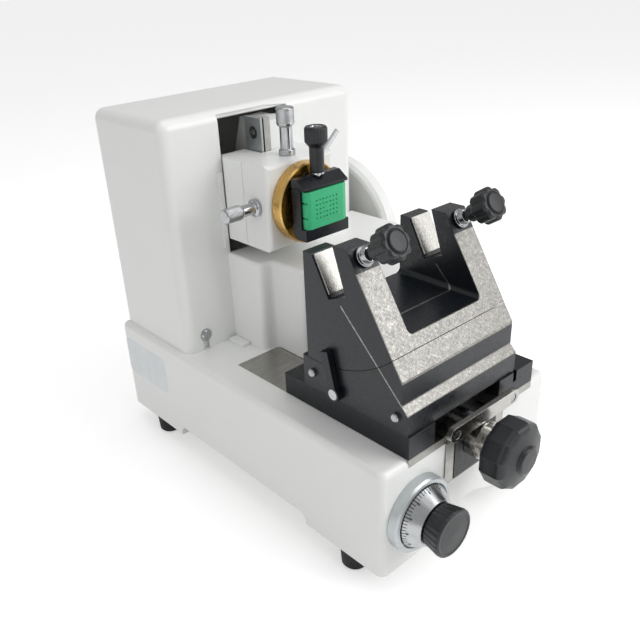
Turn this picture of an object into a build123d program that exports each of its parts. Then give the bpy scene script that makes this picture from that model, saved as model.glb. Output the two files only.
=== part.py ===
"""Small hand-driven rotary microtome for cutting sections from tissue cassettes.

All sizes are millimetres. Places are given from the base casting's left front bottom corner:
x to the right, y to the rear, z up. The part's own origin lies on the bench under the middle of
its overall width and depth, so every sketch plane below carries that shift.
"""
import os
from math import cos, radians, sin, sqrt

from build123d import *

# Clearances
RUN = 0.05          # round running fit, on the radius
PLAY = 0.3          # clear space beside or over a sliding face
HOLE = 0.1          # screw in its hole, on the radius

# Base casting and what it stands on
BASE_W = 186.0
BASE_D = 330.0
BASE_H = 86.8
BASE_WALL = 6.0
BASE_TOP = 12.0
BASE_EDGE = 5.0
SIDE_ARCH_Y = (78.0, 245.0)
SIDE_ARCH_H = 9.0
FRONT_ARCH_X = 44.0
FRONT_ARCH_FLAT = 14.0
FRONT_ARCH_H = 19.0
FOOT_H = 18.0
FOOT_R = 11.0
FOOT_X = 12.0
FOOT_FRONT_Y = 38.0
FOOT_REAR_Y = 288.0
BOSS_R = 9.0
BOSS_H = 20.0
BOTTOM_SHEET = 1.5
FOOT_SCREW_R = 2.5

# Slide bed let into the base top, with its two rails
BED_X = 25.0
BED_LEDGE = 21.0
BED_D = 183.0
BED_T = 6.0
RAIL_X = 66.0
RAIL_W = 4.5
RAIL_PITCH = 54.0
RAIL_RISE = 0.5
BED_SLOT_W = 16.0
BED_SLOT_Y = (24.0, 128.0)

# Front window and the bearing of the coarse feed
COARSE_X = 96.0
COARSE_Z = 72.0
COARSE_SCREW_R = 5.0
WINDOW_W = 66.0
WINDOW_Z = 45.0
WINDOW_RIM = 9.5
BLOCK_OUT = 1.5

# Thickness dial
DIAL_X = 33.0
DIAL_Z = 41.0
DIAL_BEZEL_R = 28.5
DIAL_BEZEL_T = 8.0
DIAL_DRUM_R = 23.5
DIAL_DRUM_TOP_R = 17.0
DIAL_DRUM_T = 10.5
DIAL_KNOB_R = 15.7
DIAL_KNOB_END_R = 18.0
DIAL_KNOB_T = 14.5
DIAL_RIBS = 24
DIAL_SHAFT_R = 4.0
DIAL_CAM_R = 14.0
DIAL_CAM_LIFT = 4.0

# Tower cover
COVER_X = 5.7
COVER_Y = 225.0
COVER_OVERHANG = 17.4
COVER_H = 192.5
COVER_WALL = 3.0
COVER_EDGE = 9.0
NOTCH_X = 58.0
NOTCH_W = 70.0
NOTCH_TOP_GAP = 3.3
NOTCH_SLOPE = 2.0
STRIP_Z = (170.0, 233.0)
COVER_SCREW_X = 24.5
COVER_SCREW_Z = 13.2
COVER_SCREW_R = 2.5

# Head guard in front of the tower
GUARD_X = 55.0
GUARD_STEP_X = 69.0
GUARD_Y = 145.0
GUARD_STEP_Y = 184.0
GUARD_H = 78.2
GUARD_WALL = 3.0
GUARD_EDGE = 6.0

# Upright guide for the carriage
GUIDE_X = 86.0
GUIDE_W = 30.0
GUIDE_Y = 208.0
GUIDE_D = 20.0
GUIDE_H = 184.2
GIB_T = 2.0
RAIL_GAP = 1.0
GUIDE_RAIL_T = 6.0
COLUMN_RIB_W = 22.0
COLUMN_FOOT_T = 10.0
COLUMN_FOOT_D = 92.0

# Main shaft and handwheel
SHAFT_Y = 262.5
SHAFT_Z = 133.6
SHAFT_R = 7.0
CRANK_THROW = 18.0
CRANK_REST = -33.7
CRANK_PIN_R = 4.0
CRANK_DISC_R = 26.0
CRANK_DISC_T = 7.0
CRANK_PIN_GAP = 0.6
BEARING_R = 13.0
BEARING_T = 9.0
BRACKET_GAP = 7.0
BRACKET_WALL_GAP = 4.4
WHEEL_R = 75.0
WHEEL_RIM_W = 16.0
WHEEL_RIM_T = 9.0
WHEEL_GAP = 8.6
HUB_R = 16.0
GRIP_THROW = 60.0
GRIP_REST = -12.0
GRIP_R = 10.0
GRIP_L = 46.0
GRIP_SPINDLE_R = 4.0

# Vertical carriage
HEAD_X = (57.0, 126.0)
HEAD_Z = (178.0, 245.0)
CARRIAGE_Y = 198.0
NECK_INSET = 3.0
YOKE_T = 5.0
YOKE_Z = (105.0, 240.0)
YOKE_SLOT_HALF = 23.5
KEEPER_T = 5.0

# Fine feed of the head
FEED_X = 66.0
FEED_Z = 190.0
FEED_SCREW_R = 4.0
FEED_NUT_R = 6.0
RATCHET_R = 18.0
RATCHET_T = 5.0
RATCHET_TEETH = 30
RATCHET_STANDOFF = 15.0
PAWL_X = 84.0
PAWL_Z = 214.0
PAWL_PIN_R = 2.5
GUIDE_ROD_R = 2.5
GUIDE_RODS = ((66.0, 234.0), (122.0, 190.0))

# Head block and the two turning joints inside it
BALL_X = 92.0
BALL_Y = 185.0
BALL_Z = 212.0
HEAD_FRONT_Y = 169.0
SOCKET_R = 23.0
RING_R = 22.6
BALL_R = 17.0
RING_Y = (175.0, 194.0)
TRUNNION_R = 3.5
STEM_R = 9.0
CAP_R = 31.4
CAP_FRONT_Y = 159.0
CAP_T = 5.5
CAP_MOUTH_R = 13.0
CAP_SPIGOT_R = 24.8
CAP_SCREW_CIRCLE = 22.3
CAP_SCREWS = 3
LOCK_RING_T = 3.9
LOCK_LEVER_R = 2.0
LOCK_LEVER_L = 32.0
LOCK_LEVER_TILT = 41.0

# Chrome orientation knobs
TILT_KNOB_X = 93.4
TILT_KNOB_Y = 186.3
SWIVEL_KNOB_Y = 183.1
SWIVEL_KNOB_Z = 212.1

# Cassette clamp and cassette
CLAMP_X = 91.5
CLAMP_W = 44.0
CLAMP_BACK_Y = (146.0, 155.5)
CLAMP_Z = (190.0, 229.0)
JAW_FRONT_Y = 140.8
JAW_TOP_Z = 236.0
JAW_LIP = 9.0
CLAMP_SCREW_Y = 150.4
CLAMP_NECK_R = 5.5
CLAMP_SCREW_R = 2.5
CASSETTE_W = 40.0
CASSETTE_H = 28.5
CASSETTE_T = 6.0
CASSETTE_WALL = 1.2
HOLE_COLS = 7
HOLE_ROWS = 5
HOLE_PITCH = 3.4
HOLE_R = 0.65

# Knife base
KNIFE_BASE_X = 25.0
KNIFE_BASE_D = 122.0
KNIFE_BASE_T = 17.3
KNIFE_CUT_X = (51.0, 123.0)
KNIFE_CUT_D = 10.0
NUT_Y = 60.0
NUT_D = 24.0
BRACKET_Y = -9.0
BRACKET_T = 4.0
BRACKET_LEFT_X = 57.0
BRACKET_RIGHT_X = 135.0

# Knife holder: seat below the arc, cradle above it
HOLDER_SHORT = 22.5
SEAT_FRONT_Y = 1.5
SEAT_REAR_Y = 99.7
ARC_Y = 86.0
ARC_Z = 235.5
ARC_R = 107.4
SEAM_Y = 14.5
POST_W = 21.0
CRADLE_REAR_Y = 94.5
CRADLE_FLOOR_Z = 163.6
POST_FRONT_TOP_Z = 218.5
POST_REAR_TOP_Z = 208.4
FRONT_LEAN = 0.618
SLOT_FLOOR_REAR = (71.2, 180.1)
SLOT_FLOOR_FRONT = (55.2, 186.4)
SLOT_REAR_TOP_Y = 86.4
SLOT_FRONT_TOP_Y = 66.0
PAD_T = 2.0
STAR_AXIS = 31.8
STAR_R = 12.0
STAR_LOBES = 8
STAR_T = 13.0
STAR_SCREW_R = 3.0
TILT_PIVOT_Y = 65.2
TILT_PIVOT_Z = 111.2
TILT_SHAFT_R = 4.0
TILT_LEVER_L = 32.0
TILT_LEVER_LEAN = 13.7

# Coarse feed knob
KNOB_R = 25.5
KNOB_T = 20.0
KNOB_Y = -20.0
KNOB_SCALLOPS = 12
COLLAR_R = 14.5
KNOB_CAP = 5.5

# Places worked out from the sizes above
BED_Z = BASE_H - BED_T
BED_TOP = BASE_H
BED_W = BASE_W - BED_X - BED_LEDGE
KNIFE_BASE_W = BED_W
HOLDER_W = KNIFE_BASE_W - HOLDER_SHORT
WINDOW_X = (COARSE_X - WINDOW_W / 2, COARSE_X + WINDOW_W / 2)
COVER_BACK = BASE_D
COVER_RIGHT = BASE_W + COVER_OVERHANG
COVER_TOP = BASE_H + COVER_H
COVER_INNER_Y = COVER_Y + COVER_WALL
NOTCH_RIGHT = NOTCH_X + NOTCH_W
GUARD_TOP = BASE_H + GUARD_H
GUIDE_RIGHT = GUIDE_X + GUIDE_W
GUIDE_REAR = GUIDE_Y + GUIDE_D
GUIDE_TOP = BASE_H + GUIDE_H
RAIL_START = GUIDE_X + GIB_T + RAIL_GAP
COLUMN_X = RAIL_START + GUIDE_RAIL_T
CHANNEL_RIGHT = GUIDE_RIGHT + PLAY
CHANNEL_FRONT = GUIDE_Y - 2 * PLAY
CARRIAGE_REAR = GUIDE_REAR + PLAY
YOKE_X = HEAD_X[1]
PIN_X = YOKE_X + YOKE_T + CRANK_PIN_GAP
DISC_X = PIN_X + 4.4
BRACKET_X = (DISC_X + CRANK_DISC_T + BRACKET_GAP, COVER_RIGHT - COVER_WALL - BRACKET_WALL_GAP)
WHEEL_X = COVER_RIGHT + WHEEL_GAP
OVERALL_W = WHEEL_X + WHEEL_RIM_W + GRIP_L + 4
FRONT_END = KNOB_Y - KNOB_T - KNOB_CAP
REAR_END = SHAFT_Y + WHEEL_R
LEFT = -OVERALL_W / 2
FRONT = -(FRONT_END + REAR_END) / 2
SLOT_Z = SHAFT_Z + CRANK_THROW * sin(radians(CRANK_REST))
SLIDE_Z = BASE_H + 0.2
KNIFE_BASE_TOP = SLIDE_Z + KNIFE_BASE_T
KNIFE_BASE_RIGHT = KNIFE_BASE_X + KNIFE_BASE_W
HOLDER_RIGHT = KNIFE_BASE_X + HOLDER_W
RATCHET_Y = CARRIAGE_REAR + KEEPER_T + RATCHET_STANDOFF


def level(z):
    """Flat sketch plane at a height: sketch x runs right and sketch y runs rearwards."""
    return Plane(origin=(LEFT, FRONT, FOOT_H + z))


def facing(y):
    """Upright sketch plane seen from the front: sketch x runs right and sketch y runs up."""
    return Plane(origin=(LEFT, FRONT + y, FOOT_H), x_dir=(1, 0, 0), z_dir=(0, -1, 0))


def across(x):
    """Upright sketch plane seen from the side: sketch x runs rearwards and sketch y runs up."""
    return Plane(origin=(LEFT + x, FRONT, FOOT_H), x_dir=(0, 1, 0), z_dir=(1, 0, 0))


def slab(x, y, z, mode=Mode.ADD, corner=0.0):
    """Block between two limits on each axis, its upright edges rounded if a corner is given."""
    with BuildSketch(level(z[0])) as plan:
        with Locations(((x[0] + x[1]) / 2, (y[0] + y[1]) / 2)):
            if corner:
                RectangleRounded(x[1] - x[0], y[1] - y[0], corner)
            else:
                Rectangle(x[1] - x[0], y[1] - y[0])
    extrude(plan.sketch, amount=z[1] - z[0], mode=mode)


def post(x, y, z, radius, mode=Mode.ADD):
    """Upright round between two heights."""
    with BuildSketch(level(z[0])) as plan:
        with Locations((x, y)):
            Circle(radius)
    extrude(plan.sketch, amount=z[1] - z[0], mode=mode)


def rod(x, z, y, radius, mode=Mode.ADD):
    """Round that lies from front to rear."""
    with BuildSketch(facing(y[1])) as end:
        with Locations((x, z)):
            Circle(radius)
    extrude(end.sketch, amount=y[1] - y[0], mode=mode)


def axle(y, z, x, radius, mode=Mode.ADD):
    """Round that lies from left to right."""
    with BuildSketch(across(x[0])) as end:
        with Locations((y, z)):
            Circle(radius)
    extrude(end.sketch, amount=x[1] - x[0], mode=mode)


def plan_block(outline, z, mode=Mode.ADD):
    """Outline of (x, y) corners carried up from one height to another."""
    with BuildSketch(level(z[0])) as plan:
        with BuildLine():
            Polyline(*outline, close=True)
        make_face()
    extrude(plan.sketch, amount=z[1] - z[0], mode=mode)


def side_block(outline, x, mode=Mode.ADD):
    """Side outline of (y, z) corners carried across from left to right."""
    with BuildSketch(across(x[0])) as side:
        with BuildLine():
            Polyline(*outline, close=True)
        make_face()
    extrude(side.sketch, amount=x[1] - x[0], mode=mode)


def front_block(outline, y, mode=Mode.ADD):
    """Front outline of (x, z) corners carried from front to rear."""
    with BuildSketch(facing(y[1])) as front:
        with BuildLine():
            Polyline(*outline, close=True)
        make_face()
    extrude(front.sketch, amount=y[1] - y[0], mode=mode)


def turned_y(x, z, outline, mode=Mode.ADD):
    """Solid turned about a front-to-rear axis from (y, radius) corners."""
    with BuildSketch(across(x)) as half:
        with BuildLine():
            Polyline(*[(y, z + r) for y, r in outline], close=True)
        make_face()
    revolve(half.sketch, axis=Axis((LEFT + x, FRONT, FOOT_H + z), (0, 1, 0)), mode=mode)


def turned_x(y, z, outline, mode=Mode.ADD):
    """Solid turned about a left-to-right axis from (x, radius) corners."""
    with BuildSketch(facing(y)) as half:
        with BuildLine():
            Polyline(*[(x, z + r) for x, r in outline], close=True)
        make_face()
    revolve(half.sketch, axis=Axis((LEFT, FRONT + y, FOOT_H + z), (1, 0, 0)), mode=mode)


def turned_z(x, y, outline, mode=Mode.ADD):
    """Solid turned about an upright axis from (z, radius) corners."""
    with BuildSketch(facing(y)) as half:
        with BuildLine():
            Polyline(*[(x + r, z) for z, r in outline], close=True)
        make_face()
    revolve(half.sketch, axis=Axis((LEFT + x, FRONT + y, FOOT_H), (0, 0, 1)), mode=mode)


def ball(x, y, z, radius, mode=Mode.ADD):
    """Sphere about a point."""
    with BuildSketch(facing(y)) as half:
        with Locations((x, z)):
            Circle(radius)
            Rectangle(2 * radius + 2, radius + 1, align=(Align.CENTER, Align.MAX), mode=Mode.SUBTRACT)
    revolve(half.sketch, axis=Axis((LEFT, FRONT + y, FOOT_H + z), (1, 0, 0)), mode=mode)


FEET = [
    (x, y)
    for x in (FOOT_X, BASE_W - FOOT_X)
    for y in (FOOT_FRONT_Y, FOOT_REAR_Y)
]

# Base casting: open box with arched skirts, foot bosses, bed pocket, nut slot and front window
with BuildPart() as base_casting:
    slab((0, BASE_W), (0, BASE_D), (0, BASE_H), corner=BASE_EDGE + 1)
    top_rim = base_casting.faces().sort_by(Axis.Z)[-1].edges()
    fillet(top_rim.sort_by(Axis.Y)[:-3], BASE_EDGE)
    slab(
        (BASE_WALL, BASE_W - BASE_WALL),
        (BASE_WALL, BASE_D - BASE_WALL),
        (-1, BASE_H - BASE_TOP),
        Mode.SUBTRACT,
    )
    arch_step = SIDE_ARCH_H / 2
    side_block(
        [
            (SIDE_ARCH_Y[0], -1),
            (SIDE_ARCH_Y[0], arch_step),
            (SIDE_ARCH_Y[0] + arch_step, SIDE_ARCH_H),
            (SIDE_ARCH_Y[1] - arch_step, SIDE_ARCH_H),
            (SIDE_ARCH_Y[1], arch_step),
            (SIDE_ARCH_Y[1], -1),
        ],
        (-1, BASE_W + 1),
        Mode.SUBTRACT,
    )
    front_block(
        [
            (FRONT_ARCH_X, -1),
            (FRONT_ARCH_X, 2),
            (BASE_W / 2 - FRONT_ARCH_FLAT / 2, FRONT_ARCH_H),
            (BASE_W / 2 + FRONT_ARCH_FLAT / 2, FRONT_ARCH_H),
            (BASE_W - FRONT_ARCH_X, 2),
            (BASE_W - FRONT_ARCH_X, -1),
        ],
        (-1, BASE_WALL + 1),
        Mode.SUBTRACT,
    )
    for x, y in FEET:
        post(x, y, (0, BOSS_H), BOSS_R)
        post(x, y, (-1, BOSS_H + 1), FOOT_SCREW_R + HOLE, Mode.SUBTRACT)
    slab((BED_X, BED_X + BED_W), (-1, BED_D), (BED_Z, BASE_H + 1), Mode.SUBTRACT)
    slab(
        (COARSE_X - BED_SLOT_W / 2 - 2, COARSE_X + BED_SLOT_W / 2 + 2),
        (BASE_WALL, BED_SLOT_Y[1] + 22),
        (BASE_H - BASE_TOP - 1, BASE_H),
        Mode.SUBTRACT,
    )
    slab(WINDOW_X, (-1, BASE_WALL + 4), (WINDOW_Z, BED_Z), Mode.SUBTRACT)
    rod(DIAL_X, DIAL_Z, (-1, BASE_WALL + 1), DIAL_SHAFT_R + PLAY, Mode.SUBTRACT)
    slab((18, 31), (COVER_INNER_Y + PLAY, COVER_INNER_Y + 7), (BASE_H - 1, BASE_H + 22))
    slab((45, GUARD_X - PLAY), (203, COVER_Y - 2), (BASE_H - 1, BASE_H + 2.5), corner=2)
    rod(
        COVER_SCREW_X,
        BASE_H + COVER_SCREW_Z,
        (COVER_INNER_Y, COVER_INNER_Y + 8),
        COVER_SCREW_R + HOLE,
        Mode.SUBTRACT,
    )

# Bottom sheet, held up on the foot bosses
with BuildPart() as bottom_plate:
    slab(
        (BASE_WALL + PLAY, BASE_W - BASE_WALL - PLAY),
        (BASE_WALL + PLAY, BASE_D - BASE_WALL - PLAY),
        (BOSS_H, BOSS_H + BOTTOM_SHEET),
    )
    for x, y in FEET:
        post(x, y, (BOSS_H - 1, BOSS_H + BOTTOM_SHEET + 1), FOOT_SCREW_R + HOLE, Mode.SUBTRACT)

# Rubber feet with a sunk hole for the screw
with BuildPart() as rubber_feet:
    for x, y in FEET:
        turned_z(
            x,
            y,
            [
                (0, FOOT_SCREW_R + HOLE),
                (0, FOOT_R),
                (2 - FOOT_H, FOOT_R - 1),
                (-FOOT_H, FOOT_R - 2.5),
                (-FOOT_H, FOOT_SCREW_R + 3),
                (7 - FOOT_H, FOOT_SCREW_R + 3),
                (7 - FOOT_H, FOOT_SCREW_R + HOLE),
            ],
        )

# Slide bed: ground plate with two shallow grooves for the rails
with BuildPart() as slide_bed:
    slab((BED_X, BED_X + BED_W), (0, BED_D), (BED_Z, BED_TOP))
    for x in (RAIL_X, RAIL_X + RAIL_PITCH):
        slab((x, x + RAIL_W), (-1, BED_D + 1), (BED_TOP - 2, BED_TOP + 1), Mode.SUBTRACT)
    slab(
        (COARSE_X - BED_SLOT_W / 2, COARSE_X + BED_SLOT_W / 2),
        BED_SLOT_Y,
        (BED_Z - 1, BED_TOP + 1),
        Mode.SUBTRACT,
    )

# Polished rails, each with a fine groove along its middle
with BuildPart() as bed_rails:
    for x in (RAIL_X, RAIL_X + RAIL_PITCH):
        slab((x, x + RAIL_W), (0, BED_D), (BED_TOP - 2, BED_TOP))
        middle = x + RAIL_W / 2
        slab((middle - 0.5, middle + 0.5), (-1, BED_D + 1), (BED_TOP - 0.8, BED_TOP + 1), Mode.SUBTRACT)

# Frame of the front window and the bearing block of the coarse screw inside it
with BuildPart() as window_frame:
    slab(WINDOW_X, (-1, BASE_WALL), (WINDOW_Z, BED_Z))
    slab(
        (WINDOW_X[0] + WINDOW_RIM, WINDOW_X[1] - WINDOW_RIM),
        (-2, BASE_WALL + 1),
        (WINDOW_Z + 1.5, BED_Z + 1),
        Mode.SUBTRACT,
    )

with BuildPart() as screw_block:
    slab(
        (WINDOW_X[0] + WINDOW_RIM, WINDOW_X[1] - WINDOW_RIM),
        (-BLOCK_OUT, BASE_WALL + 4),
        (WINDOW_Z + 1.5, BED_Z),
    )
    rod(COARSE_X, COARSE_Z, (-3, BASE_WALL + 5), COARSE_SCREW_R + RUN, Mode.SUBTRACT)

# Coarse feed: screw, stepped collar and the scalloped knob
with BuildPart() as coarse_screw:
    collar_y = -BLOCK_OUT - PLAY
    turned_y(
        COARSE_X,
        COARSE_Z,
        [
            (collar_y, 0),
            (collar_y, COLLAR_R),
            (collar_y - 9, COLLAR_R),
            (collar_y - 9, COLLAR_R - 3),
            (KNOB_Y, COLLAR_R - 3),
            (KNOB_Y, 0),
        ],
    )
    rod(COARSE_X, COARSE_Z, (collar_y, NUT_Y + NUT_D + 35), COARSE_SCREW_R)
    rod(COARSE_X, COARSE_Z, (BASE_WALL + 4 + PLAY, BASE_WALL + 8), COARSE_SCREW_R + 3)

with BuildPart() as coarse_knob:
    turned_y(
        COARSE_X,
        COARSE_Z,
        [
            (KNOB_Y, 0),
            (KNOB_Y, KNOB_R - 4),
            (KNOB_Y - 2, KNOB_R),
            (KNOB_Y - KNOB_T + 4, KNOB_R),
            (KNOB_Y - KNOB_T, KNOB_R - 3.5),
            (KNOB_Y - KNOB_T - 3, 11),
            (KNOB_Y - KNOB_T - KNOB_CAP, 10),
            (KNOB_Y - KNOB_T - KNOB_CAP, 0),
        ],
    )
    with BuildSketch(facing(KNOB_Y + 1)) as scallops:
        with Locations((COARSE_X, COARSE_Z)):
            with PolarLocations(KNOB_R + 2.2, KNOB_SCALLOPS):
                Circle(4.2)
    extrude(scallops.sketch, amount=KNOB_T + 2, mode=Mode.SUBTRACT)

# Thickness dial: fixed bezel, then the turning drum, knob, shaft and cam
with BuildPart() as dial_bezel:
    turned_y(
        DIAL_X,
        DIAL_Z,
        [
            (0, DIAL_SHAFT_R + RUN),
            (0, DIAL_BEZEL_R),
            (1.5 - DIAL_BEZEL_T, DIAL_BEZEL_R),
            (-DIAL_BEZEL_T, DIAL_BEZEL_R - 1.5),
            (-DIAL_BEZEL_T, DIAL_DRUM_R + 1),
            (3 - DIAL_BEZEL_T, DIAL_DRUM_R + 1),
            (3 - DIAL_BEZEL_T, DIAL_SHAFT_R + RUN),
        ],
    )

with BuildPart() as dial_drum:
    drum_y = 3 - DIAL_BEZEL_T - PLAY
    drum_end = -DIAL_BEZEL_T - 0.5 - DIAL_DRUM_T
    turned_y(
        DIAL_X,
        DIAL_Z,
        [
            (drum_y, DIAL_SHAFT_R),
            (drum_y, DIAL_DRUM_R),
            (-DIAL_BEZEL_T - 0.5, DIAL_DRUM_R),
            (drum_end, DIAL_DRUM_TOP_R),
            (drum_end, DIAL_SHAFT_R),
        ],
    )

with BuildPart() as dial_knob:
    turned_y(
        DIAL_X,
        DIAL_Z,
        [
            (drum_end, 0),
            (drum_end, DIAL_KNOB_R),
            (drum_end - DIAL_KNOB_T + 1.5, DIAL_KNOB_END_R),
            (drum_end - DIAL_KNOB_T, DIAL_KNOB_END_R - 1.5),
            (drum_end - DIAL_KNOB_T, 0),
        ],
    )
    with BuildSketch(facing(drum_end - 2)) as ribs:
        with Locations((DIAL_X, DIAL_Z)):
            with PolarLocations(DIAL_KNOB_END_R, DIAL_RIBS):
                Rectangle(2.4, 1.5)
    extrude(ribs.sketch, amount=DIAL_KNOB_T, mode=Mode.SUBTRACT)

# Dial shaft with the snail cam that tells the ratchet how far to feed
with BuildPart() as dial_shaft:
    rod(DIAL_X, DIAL_Z, (drum_end, BASE_WALL + 16), DIAL_SHAFT_R)
    with BuildSketch(facing(BASE_WALL + 12)) as snail:
        with Locations((DIAL_X, DIAL_Z)):
            Circle(DIAL_CAM_R - DIAL_CAM_LIFT)
        with Locations((DIAL_X, DIAL_Z + DIAL_CAM_LIFT / 2)):
            Circle(DIAL_CAM_R - DIAL_CAM_LIFT / 2)
    extrude(snail.sketch, amount=4)

# Tower cover: thin shell with the tall notch that the head travels in
with BuildPart() as tower_cover:
    slab((COVER_X, COVER_RIGHT), (COVER_Y, COVER_BACK), (BASE_H, COVER_TOP))
    fillet(tower_cover.edges().filter_by(Axis.Z), COVER_EDGE)
    fillet(tower_cover.faces().sort_by(Axis.Z)[-1].edges(), COVER_EDGE)
    offset(amount=-COVER_WALL, openings=tower_cover.faces().sort_by(Axis.Z)[0])
    slab(
        (BASE_W + PLAY, COVER_RIGHT - COVER_WALL / 2),
        (COVER_Y + COVER_EDGE, COVER_BACK - COVER_EDGE),
        (BASE_H, BASE_H + COVER_WALL),
    )
    slab((NOTCH_X - 5.5, NOTCH_X - 1.5), (COVER_Y - 2, COVER_Y + 1), STRIP_Z)
    notch_top = COVER_TOP - NOTCH_TOP_GAP
    front_block(
        [
            (NOTCH_X, BASE_H - 1),
            (NOTCH_X, notch_top),
            (NOTCH_X + NOTCH_W * 0.7, notch_top),
            (NOTCH_RIGHT, notch_top - NOTCH_SLOPE),
            (NOTCH_RIGHT, BASE_H - 1),
        ],
        (COVER_Y - 1, COVER_INNER_Y + 0.5),
        Mode.SUBTRACT,
    )
    axle(SHAFT_Y, SHAFT_Z, (COVER_RIGHT - COVER_WALL - 1, COVER_RIGHT + 1), SHAFT_R + 2, Mode.SUBTRACT)
    rod(
        COVER_SCREW_X,
        BASE_H + COVER_SCREW_Z,
        (COVER_Y - 1, COVER_INNER_Y + 1),
        COVER_SCREW_R + PLAY,
        Mode.SUBTRACT,
    )
    slab(
        (COVER_SCREW_X - COVER_SCREW_R - PLAY, COVER_SCREW_X + COVER_SCREW_R + PLAY),
        (COVER_Y - 1, COVER_INNER_Y + 1),
        (BASE_H - 1, BASE_H + COVER_SCREW_Z),
        Mode.SUBTRACT,
    )

# Head guard: stepped hollow box under the head, its top open round the guide
with BuildPart() as head_guard:
    plan_block(
        [
            (GUARD_X, COVER_Y),
            (GUARD_X, GUARD_STEP_Y),
            (GUARD_STEP_X, GUARD_STEP_Y),
            (GUARD_STEP_X, GUARD_Y),
            (COVER_RIGHT, GUARD_Y),
            (COVER_RIGHT, COVER_Y),
        ],
        (BASE_H, GUARD_TOP),
    )
    outer_corners = head_guard.edges().filter_by(Axis.Z).sort_by(Axis.Y)[:4]
    fillet(outer_corners, GUARD_EDGE)
    fillet(head_guard.faces().sort_by(Axis.Z)[-1].edges().sort_by(Axis.Y)[:-1], GUARD_WALL)
    plan_block(
        [
            (GUARD_X + GUARD_WALL, COVER_Y + 1),
            (GUARD_X + GUARD_WALL, GUARD_STEP_Y + GUARD_WALL),
            (GUARD_STEP_X + GUARD_WALL, GUARD_STEP_Y + GUARD_WALL),
            (GUARD_STEP_X + GUARD_WALL, GUARD_Y + GUARD_WALL),
            (COVER_RIGHT - GUARD_WALL, GUARD_Y + GUARD_WALL),
            (COVER_RIGHT - GUARD_WALL, COVER_Y + 1),
        ],
        (BASE_H - 1, GUARD_TOP - GUARD_WALL),
        Mode.SUBTRACT,
    )
    slab(
        (GUIDE_X - 6, GUIDE_RIGHT + 6),
        (GUIDE_Y - 4, COVER_Y + 1),
        (GUARD_TOP - GUARD_WALL - 1, GUARD_TOP + 1),
        Mode.SUBTRACT,
    )

# Column behind the guide: foot, front block and a tapered rib
with BuildPart() as guide_column:
    slab(
        (GUIDE_X - 10, GUIDE_RIGHT + 6),
        (GUIDE_Y, GUIDE_Y + COLUMN_FOOT_D),
        (BASE_H, BASE_H + COLUMN_FOOT_T),
    )
    slab((COLUMN_X, GUIDE_RIGHT), (GUIDE_Y, GUIDE_REAR), (BASE_H, GUIDE_TOP - 3))
    rib_x = (GUIDE_RIGHT - COLUMN_RIB_W - 2, GUIDE_RIGHT - 2)
    side_block(
        [
            (GUIDE_REAR, BASE_H),
            (GUIDE_REAR, GUIDE_TOP - 3),
            (GUIDE_REAR + 14, GUIDE_TOP - 3),
            (GUIDE_Y + COLUMN_FOOT_D - 4, BASE_H + 30),
            (GUIDE_Y + COLUMN_FOOT_D - 4, BASE_H),
        ],
        rib_x,
    )

with BuildPart() as guide_rail:
    slab(
        (RAIL_START, COLUMN_X),
        (GUIDE_Y - 0.5, GUIDE_REAR),
        (BASE_H + COLUMN_FOOT_T, GUIDE_TOP),
    )
    for z in (BASE_H + 40, GUIDE_TOP - 12):
        axle(GUIDE_Y + GUIDE_D / 2, z, (RAIL_START - 1, COLUMN_X - 1), 3 + HOLE, Mode.SUBTRACT)

with BuildPart() as gib_plate:
    slab((GUIDE_X, GUIDE_X + GIB_T), (GUIDE_Y, GUIDE_REAR), (BASE_H + COLUMN_FOOT_T, GUIDE_TOP))
    for z in (BASE_H + 40, GUIDE_TOP - 12):
        axle(GUIDE_Y + GUIDE_D / 2, z, (GUIDE_X - 1, GUIDE_X + GIB_T + 1), 5 + HOLE, Mode.SUBTRACT)

# Screws of the fixed parts: four feet, two in the gib plate, one round head on the cover
with BuildPart() as frame_screws:
    for x, y in FEET:
        post(x, y, (4 - FOOT_H, 7 - FOOT_H), FOOT_SCREW_R + 2)
        post(x, y, (7 - FOOT_H, BOSS_H + BOTTOM_SHEET + 1), FOOT_SCREW_R)
    for z in (BASE_H + 40, GUIDE_TOP - 12):
        axle(GUIDE_Y + GUIDE_D / 2, z, (GUIDE_X, GUIDE_X + GIB_T), 5)
        axle(GUIDE_Y + GUIDE_D / 2, z, (GUIDE_X + GIB_T, COLUMN_X - 1), 3)
        with BuildSketch(across(GUIDE_X)) as key:
            with Locations((GUIDE_Y + GUIDE_D / 2, z)):
                RegularPolygon(2.4, 6)
        extrude(key.sketch, amount=GIB_T, mode=Mode.SUBTRACT)
    turned_y(
        COVER_SCREW_X,
        BASE_H + COVER_SCREW_Z,
        [
            (COVER_INNER_Y + 7, 0),
            (COVER_INNER_Y + 7, COVER_SCREW_R),
            (COVER_Y, COVER_SCREW_R),
            (COVER_Y, 5.5),
            (COVER_Y - 1.2, 5.2),
            (COVER_Y - 2.8, 3.4),
            (COVER_Y - 2.8, 0),
        ],
    )

# Shaft bracket with a bearing at each end
with BuildPart() as shaft_bracket:
    slab(BRACKET_X, (SHAFT_Y - 24, SHAFT_Y + 24), (BASE_H + 3, BASE_H + 11))
    slab((BRACKET_X[0], BASE_W - 2), (SHAFT_Y - 24, SHAFT_Y + 24), (BASE_H, BASE_H + 3))
    for x in (BRACKET_X[0], BRACKET_X[1] - BEARING_T):
        side_block(
            [
                (SHAFT_Y - 22, BASE_H + 10),
                (SHAFT_Y + 22, BASE_H + 10),
                (SHAFT_Y + BEARING_R + 5, SHAFT_Z),
                (SHAFT_Y - BEARING_R - 5, SHAFT_Z),
            ],
            (x, x + BEARING_T),
        )
        axle(SHAFT_Y, SHAFT_Z, (x, x + BEARING_T), BEARING_R + 5)
        axle(SHAFT_Y, SHAFT_Z, (x - 1, x + BEARING_T + 1), BEARING_R, Mode.SUBTRACT)

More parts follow.
